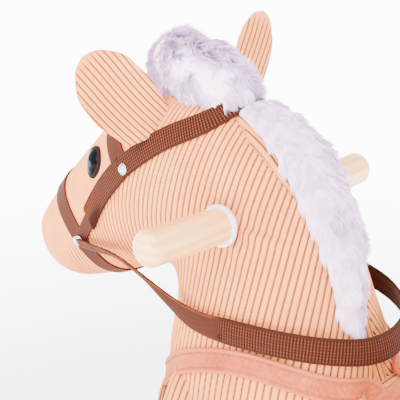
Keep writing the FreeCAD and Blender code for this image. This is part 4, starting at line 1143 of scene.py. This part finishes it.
# Share of the leg's height, then its half depth and half width, mm. The top is a round shoulder.
LEG_SECTIONS = {
    "front": [(0.03, 27.5, 27.5), (0.17, 28.5, 28.5), (0.25, 29, 29), (0.5, 31, 31), (0.75, 36, 36),
              (0.95, 40, 38), (1.1, 38, 35), (1.21, 30, 27), (1.28, 17, 15), (1.3, 4, 4)],
    "rear": [(0.03, 27.5, 27.5), (0.17, 28.5, 28.5), (0.25, 29, 29), (0.5, 31, 31), (0.72, 36, 35),
             (0.85, 40, 34), (0.95, 41, 28), (1.03, 37, 21), (1.08, 24, 12), (1.1, 6, 4)],
}
HOOF_SECTIONS = [(-0.004, 6), (0.0, 24), (0.004, 33), (0.03, 34.8), (0.10, 34.6), (0.17, 33), (0.235, 30),
                 (0.247, 27.5), (0.25, 20)]
FOOT_Z, TOP_Z = 0.073, 0.228
X_WAY, Y_WAY = np.array([1.0, 0, 0]), np.array([0, 1.0, 0])

for end, y in LEG_Y.items():
    for name, side in SIDES.items():
        foot, top = np.array([side * 0.070, y, FOOT_Z]), np.array([side * 0.045, y, TOP_Z])
        depth, breadth = (np.array([row[k] for row in LEG_SECTIONS[end]])[:, None] * MM for k in (1, 2))
        centres = [foot + (top - foot) * row[0] for row in LEG_SECTIONS[end]]
        leg = ring_grid(centres, Y_WAY * depth, X_WAY * breadth, 34, 40)
        rise = (leg[..., 2] - FOOT_Z) / (TOP_Z - FOOT_Z)
        folds = ease(0.2, 0.32, rise) * ease(1.0, 0.8, rise)
        leg = puff(leg, folds, cap=0.0022)
        leg += grid_normals(leg, True) * (wander(leg, 0.03, 13) * 0.0009 * folds)[..., None]
        fine = finer(leg, 110, 280, True)
        rise = (fine[..., 2] - FOOT_Z) / (TOP_Z - FOOT_Z)
        ribs = np.arange(280) / 280 * 36
        wale = np.broadcast_to(ribs, fine.shape[:2])
        rib = np.ones(fine.shape[:2])
        piece = "%s_%s_leg" % (end, name)
        made = add_grid(piece + "_padded", ribbed(fine, wale, rib), True, corduroy,
                        {"wale": wale, "rib": rib})
        settle(made, "horse", "corduroy", piece)
        radius = np.array([r for _, r in HOOF_SECTIONS])[:, None] * MM
        centres = [foot + (top - foot) * max(s, 0.0) for s, _ in HOOF_SECTIONS]
        hoof = ring_grid(centres, Y_WAY * radius, X_WAY * radius, 90, 120)
        rise = (hoof[..., 2] - FOOT_Z) / MM
        seams = np.exp(-((rise - 5.5) / 0.7) ** 2) + 0.8 * np.exp(-((rise - 33.5) / 0.7) ** 2)
        soft = wander(hoof, 0.02, 14) * 0.0005 * ease(1, 6, rise)
        hoof = hoof + grid_normals(hoof, True) * (soft - seams * 0.0008)[..., None]
        # Painted highlight: bands beside the hoof's two seams, carried by the edge field.
        edge = np.exp(-((rise - 4.2) / 1.2) ** 2) + np.exp(-((rise - 37) / 1.5) ** 2)
        piece = "%s_%s_hoof" % (end, name)
        made = add_grid(piece + "_padded", hoof, True, hoof_suede, {"edge": edge * 0.6})
        settle(made, "horse", "hoof_suede", piece)

# ---------------------------------------------------------------- saddle and girth
# The skirt is one sheet of suede over the back with a rounded flap on each side.
SADDLE_FRONT, SADDLE_REAR, SKIRT_BOTTOM = 127, 248, 226
rows, columns = 90, 220
place = np.linspace(-1, 1, columns)
along = np.linspace(SADDLE_FRONT + 1, SADDLE_REAR - 1, rows)
corner = 30.0
grid = np.zeros((rows, columns, 3))
normal = np.zeros_like(grid)
for i, y in enumerate(along):
    inset = max(corner - (y - SADDLE_FRONT), corner - (SADDLE_REAR - y), 0)
    low = SKIRT_BOTTOM + corner - math.sqrt(max(corner ** 2 - inset ** 2, 0))
    tall, half = (float(spline([s[0] for s in BODY_SECTIONS], [s[k] for s in BODY_SECTIONS], [y])[0])
                  for k in (2, 3))
    centre = 256.5
    lowest = math.acos(max(-1, min(1, (low - centre) / tall)))
    a = place * lowest
    reach = (abs(np.cos(a)) ** SQUARENESS + abs(np.sin(a)) ** SQUARENESS) ** (-1 / SQUARENESS)
    grid[i] = np.stack([np.sin(a) * reach * half * MM, np.full(columns, HANDLE_Y + y * MM),
                        (centre + np.cos(a) * reach * tall) * MM], 1)
barrel_tree = tree_of(finer(barrel, 130, 120, True))
grid, normal = nearest(barrel_tree, grid)
for _ in range(3):
    normal[1:-1] = unit(normal[:-2] + 2 * normal[1:-1] + normal[2:])
skirt = tape("saddle_skirt_suede", grid[:, ::4] + normal[:, ::4] * 0.0031, normal[:, ::4],
             grid[:, ::4] + normal[:, ::4] * 0.0004,
             lambda s, t, half: (0.0 * (s + t), 0.0 * (s + t)), suede, "edge", step=1.0, wide=1.5)
settle(skirt, "horse", "peach_suede", "saddle_skirt")


def tube(name, path, radius, material, sides=10, fields=None):
    """Round piping along a path."""
    path = np.asarray(path)
    ahead = unit(np.gradient(path, axis=0))
    up = np.array([0.3, 0.1, 1.0])
    side = unit(np.cross(ahead, up + 0 * ahead))
    other = np.cross(ahead, side)
    a = np.linspace(0, 2 * math.pi, sides, endpoint=False)[None, :, None]
    p = path[:, None] + (side[:, None] * np.cos(a) + other[:, None] * np.sin(a)) * radius
    p = np.concatenate([path[:1][:, None] + 0 * p[:1], p, path[-1:][:, None] + 0 * p[-1:]])
    if (grid_normals(p, True)[2] * (p[2] - path[1])).sum() < 0:
        p = p[:, ::-1]
    return add_grid(name, p, True, material, {f: np.full(p.shape[:2], v) for f, v in (fields or {}).items()})


edge_line = np.concatenate([grid[:, 0], grid[-1, 1:-1], grid[::-1, -1], grid[0, -2:0:-1], grid[:2, 0]])
edge_out = np.concatenate([normal[:, 0], normal[-1, 1:-1], normal[::-1, -1], normal[0, -2:0:-1], normal[:2, 0]])
# The binding carries the edge value all over, so the whole piping takes the painted edge highlight.
binding = tube("saddle_binding", smoothed(resample(edge_line + edge_out * 0.0018, 420), 2), 0.0021, suede,
               fields={"edge": 0.9})
settle(binding, "horse", "peach_suede")
for number, (rows_, cols_) in enumerate(((slice(5, -5), 7), (slice(5, -5), -8))):
    row = stitches("skirt_stitches_%d" % (number + 1), grid[rows_, cols_] + normal[rows_, cols_] * 0.0031,
                   normal[rows_, cols_])
    settle(row, "horse", "peach_suede")

SEAT_SECTIONS = [(128, 341, 3, 20), (131, 341, 7, 32), (137, 343, 9.5, 41), (153, 341, 10.5, 47), (178, 339, 10.5, 50),
                 (205, 341, 12.5, 51), (226, 348, 17, 48), (240, 352, 16, 40), (246, 351, 9, 27), (248, 350, 3, 14)]
seat = ring_grid([side_point(y, z) for y, z, _, _ in SEAT_SECTIONS],
                 [(half * MM, 0, 0) for *_, half in SEAT_SECTIONS],
                 [(0, 0, tall * MM) for _, _, tall, _ in SEAT_SECTIONS], 54, 64)
y, z = side_view(seat)
x = seat[..., 0] / MM
channel = np.minimum(abs(abs(x) - 17), abs(y - 226) + 6)
loose = ease(0, 12, channel) * ease(128, 140, y) * ease(248, 240, y)
seat = puff(seat, loose, pressure=5, cap=0.004)
fine = finer(seat, 170, 240, True)
y, z = side_view(fine)
x = fine[..., 0] / MM
top_side = grid_normals(fine, True)[..., 2] > 0.1
channels = np.exp(-((abs(x) - 17) / 1.1) ** 2) * top_side * ease(132, 140, y) * ease(244, 236, y)
wrinkle = wander(fine, 0.012, 15) * 0.0003 + wander(fine, 0.03, 16) * 0.0005
welt = np.exp(-((z - 341 - 6 * ease(205, 235, y)) / 1.0) ** 2) * (abs(x) > 25)
fine += grid_normals(fine, True) * (wrinkle - channels * 0.0016 + welt * 0.0012)[..., None]
# The welt's edge value paints a highlight along it.
seat_piece = add_grid("saddle_seat_padded", fine, True, suede, {"edge": welt * 0.8})
settle(seat_piece, "horse", "peach_suede", "saddle_seat")
seat_tree = tree_of(fine[::3, ::3])
for number, offset in enumerate((-19.6, -14.4, 14.4, 19.6)):
    line = []
    for y in np.linspace(140, 236, 60):
        hit = seat_tree.ray_cast(Vector((offset * MM, HANDLE_Y + y * MM, 0.5)), Vector((0, 0, -1)))
        line.append((*hit[0], *hit[1]))
    line = np.array(line)
    row = stitches("seat_stitches_%d" % (number + 1), line[:, :3], line[:, 3:])
    settle(row, "horse", "peach_suede")

GIRTH = 158
a = np.linspace(-1, 1, 160)
under = np.stack([np.sin(math.pi + a * 2.0) * 0.075, np.full(160, HANDLE_Y + GIRTH * MM),
                  0.256 + np.cos(math.pi + a * 2.0) * 0.078], 1)
under, _ = nearest(barrel_tree, under)
under = under[under[:, 2] < 0.236]
girth = wrap("girth_webbing", under, 24, 2.0, barrel_tree, webbing_weave, webbing, gap=0.4)
settle(girth, "horse", "brown_webbing", "girth_strap")

# ---------------------------------------------------------------- stuffing
for name, p, node in (("head_neck_fill", neck, "head_neck_stuffing"), ("body_fill", barrel, "torso_stuffing")):
    inner_p = p - grid_normals(p, True) * 0.004
    settle(add_grid(name, inner_p, True, stuffing), "horse", "stuffing", node)

# ---------------------------------------------------------------- pieces kept from the frame
KEPT = {
    "rocker_left": pine_y, "rocker_right": pine_y, "front_foot_board": pine_x,
    "rear_foot_board": pine_x, "middle_stretcher": pine_x, "handle_left": pine_x,
    "handle_right": pine_x, "leg_posts": birch_z, "body_board": birch, "neck_post": birch_z,
    "foot_board_screws": zinc, "stretcher_bolts": zinc, "leg_bolts": zinc, "leg_washers": zinc,
    "leg_post_screws": zinc, "neck_post_screws": zinc, "handle_hanger_bolts": zinc,
    "handle_collar_left": collar_white, "handle_collar_right": collar_white,
    "girth_buckle": chrome, "stirrup_rivets": chrome,
    "stirrup_left": stirrup_brown, "stirrup_right": stirrup_brown,
    "stirrup_strap_left": webbing, "stirrup_strap_right": webbing,
}
for node, material in KEPT.items():
    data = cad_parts[node].data
    data.materials.clear()
    data.materials.append(material)


# ---------------------------------------------------------------- camera, light and floor
VIEW_TURN, VIEW_RISE = math.radians(42.5), math.radians(19)
back = Vector((math.cos(VIEW_TURN) * math.cos(VIEW_RISE), math.sin(VIEW_TURN) * math.cos(VIEW_RISE),
               math.sin(VIEW_RISE)))
camera_data = bpy.data.cameras.new("camera")
camera_data.sensor_width, camera_data.lens = 36, 81.45
camera = bpy.data.objects.new("camera", camera_data)
camera.location = (0.53514, 0.36922, 0.69118)
camera.rotation_euler = (-back).to_track_quat("-Z", "Y").to_euler()
bpy.context.scene.collection.objects.link(camera)
bpy.context.scene.camera = camera

world = bpy.data.worlds.new("studio")
bpy.context.scene.world = world
world.use_nodes = True
world.node_tree.nodes["Background"].inputs["Color"].default_value = (1, 1, 1, 1)
world.node_tree.nodes["Background"].inputs["Strength"].default_value = 3.6


def lamp(name, turn, rise, distance, size, power, target=(0, -0.08, 0.42)):
    """Soft square light that looks at the horse; turn and rise as for the camera, in degrees."""
    data = bpy.data.lights.new(name, "AREA")
    data.shape, data.size, data.energy = "SQUARE", size, power
    obj = bpy.data.objects.new(name, data)
    t, r = math.radians(turn), math.radians(rise)
    way = Vector((math.sin(t) * math.cos(r), -math.cos(t) * math.cos(r), math.sin(r)))
    obj.location = Vector(target) + way * distance
    obj.rotation_euler = (-way).to_track_quat("-Z", "Y").to_euler()
    bpy.context.scene.collection.objects.link(obj)
    return obj


lamp("key", 88, 48, 1.9, 1.0, 44)
lamp("fill", 170, 30, 2.2, 1.4, 6)
lamp("far_side", -70, 40, 2.2, 1.4, 5)

lamp("catch_light", 104, 34, 1.5, 0.12, 14)

# The floor glows a little, more so far off, as a lit white studio sweep does.
floor_material = Finish("studio_floor", Roughness=0.9, Emission_Color=(1, 1, 1, 1))
far_off = floor_material.add("ShaderNodeVectorMath", {0: floor_material.place()}, operation="LENGTH").outputs["Value"]
floor_material.links.new(floor_material.between(far_off, 0.5, 1.6, 1.2, 9.0),
                         floor_material.shader.inputs["Emission Strength"])
floor_material.finish(floor_material.ramp(floor_material.noise(3, 2), (0.3, (250, 250, 250)), (0.7, (253, 253, 253))))
floor = add_mesh("floor", [(-20, -20, 0), (20, -20, 0), (20, 20, 0), (-20, 20, 0)], [(0, 1, 2, 3)],
                 floor_material.material)
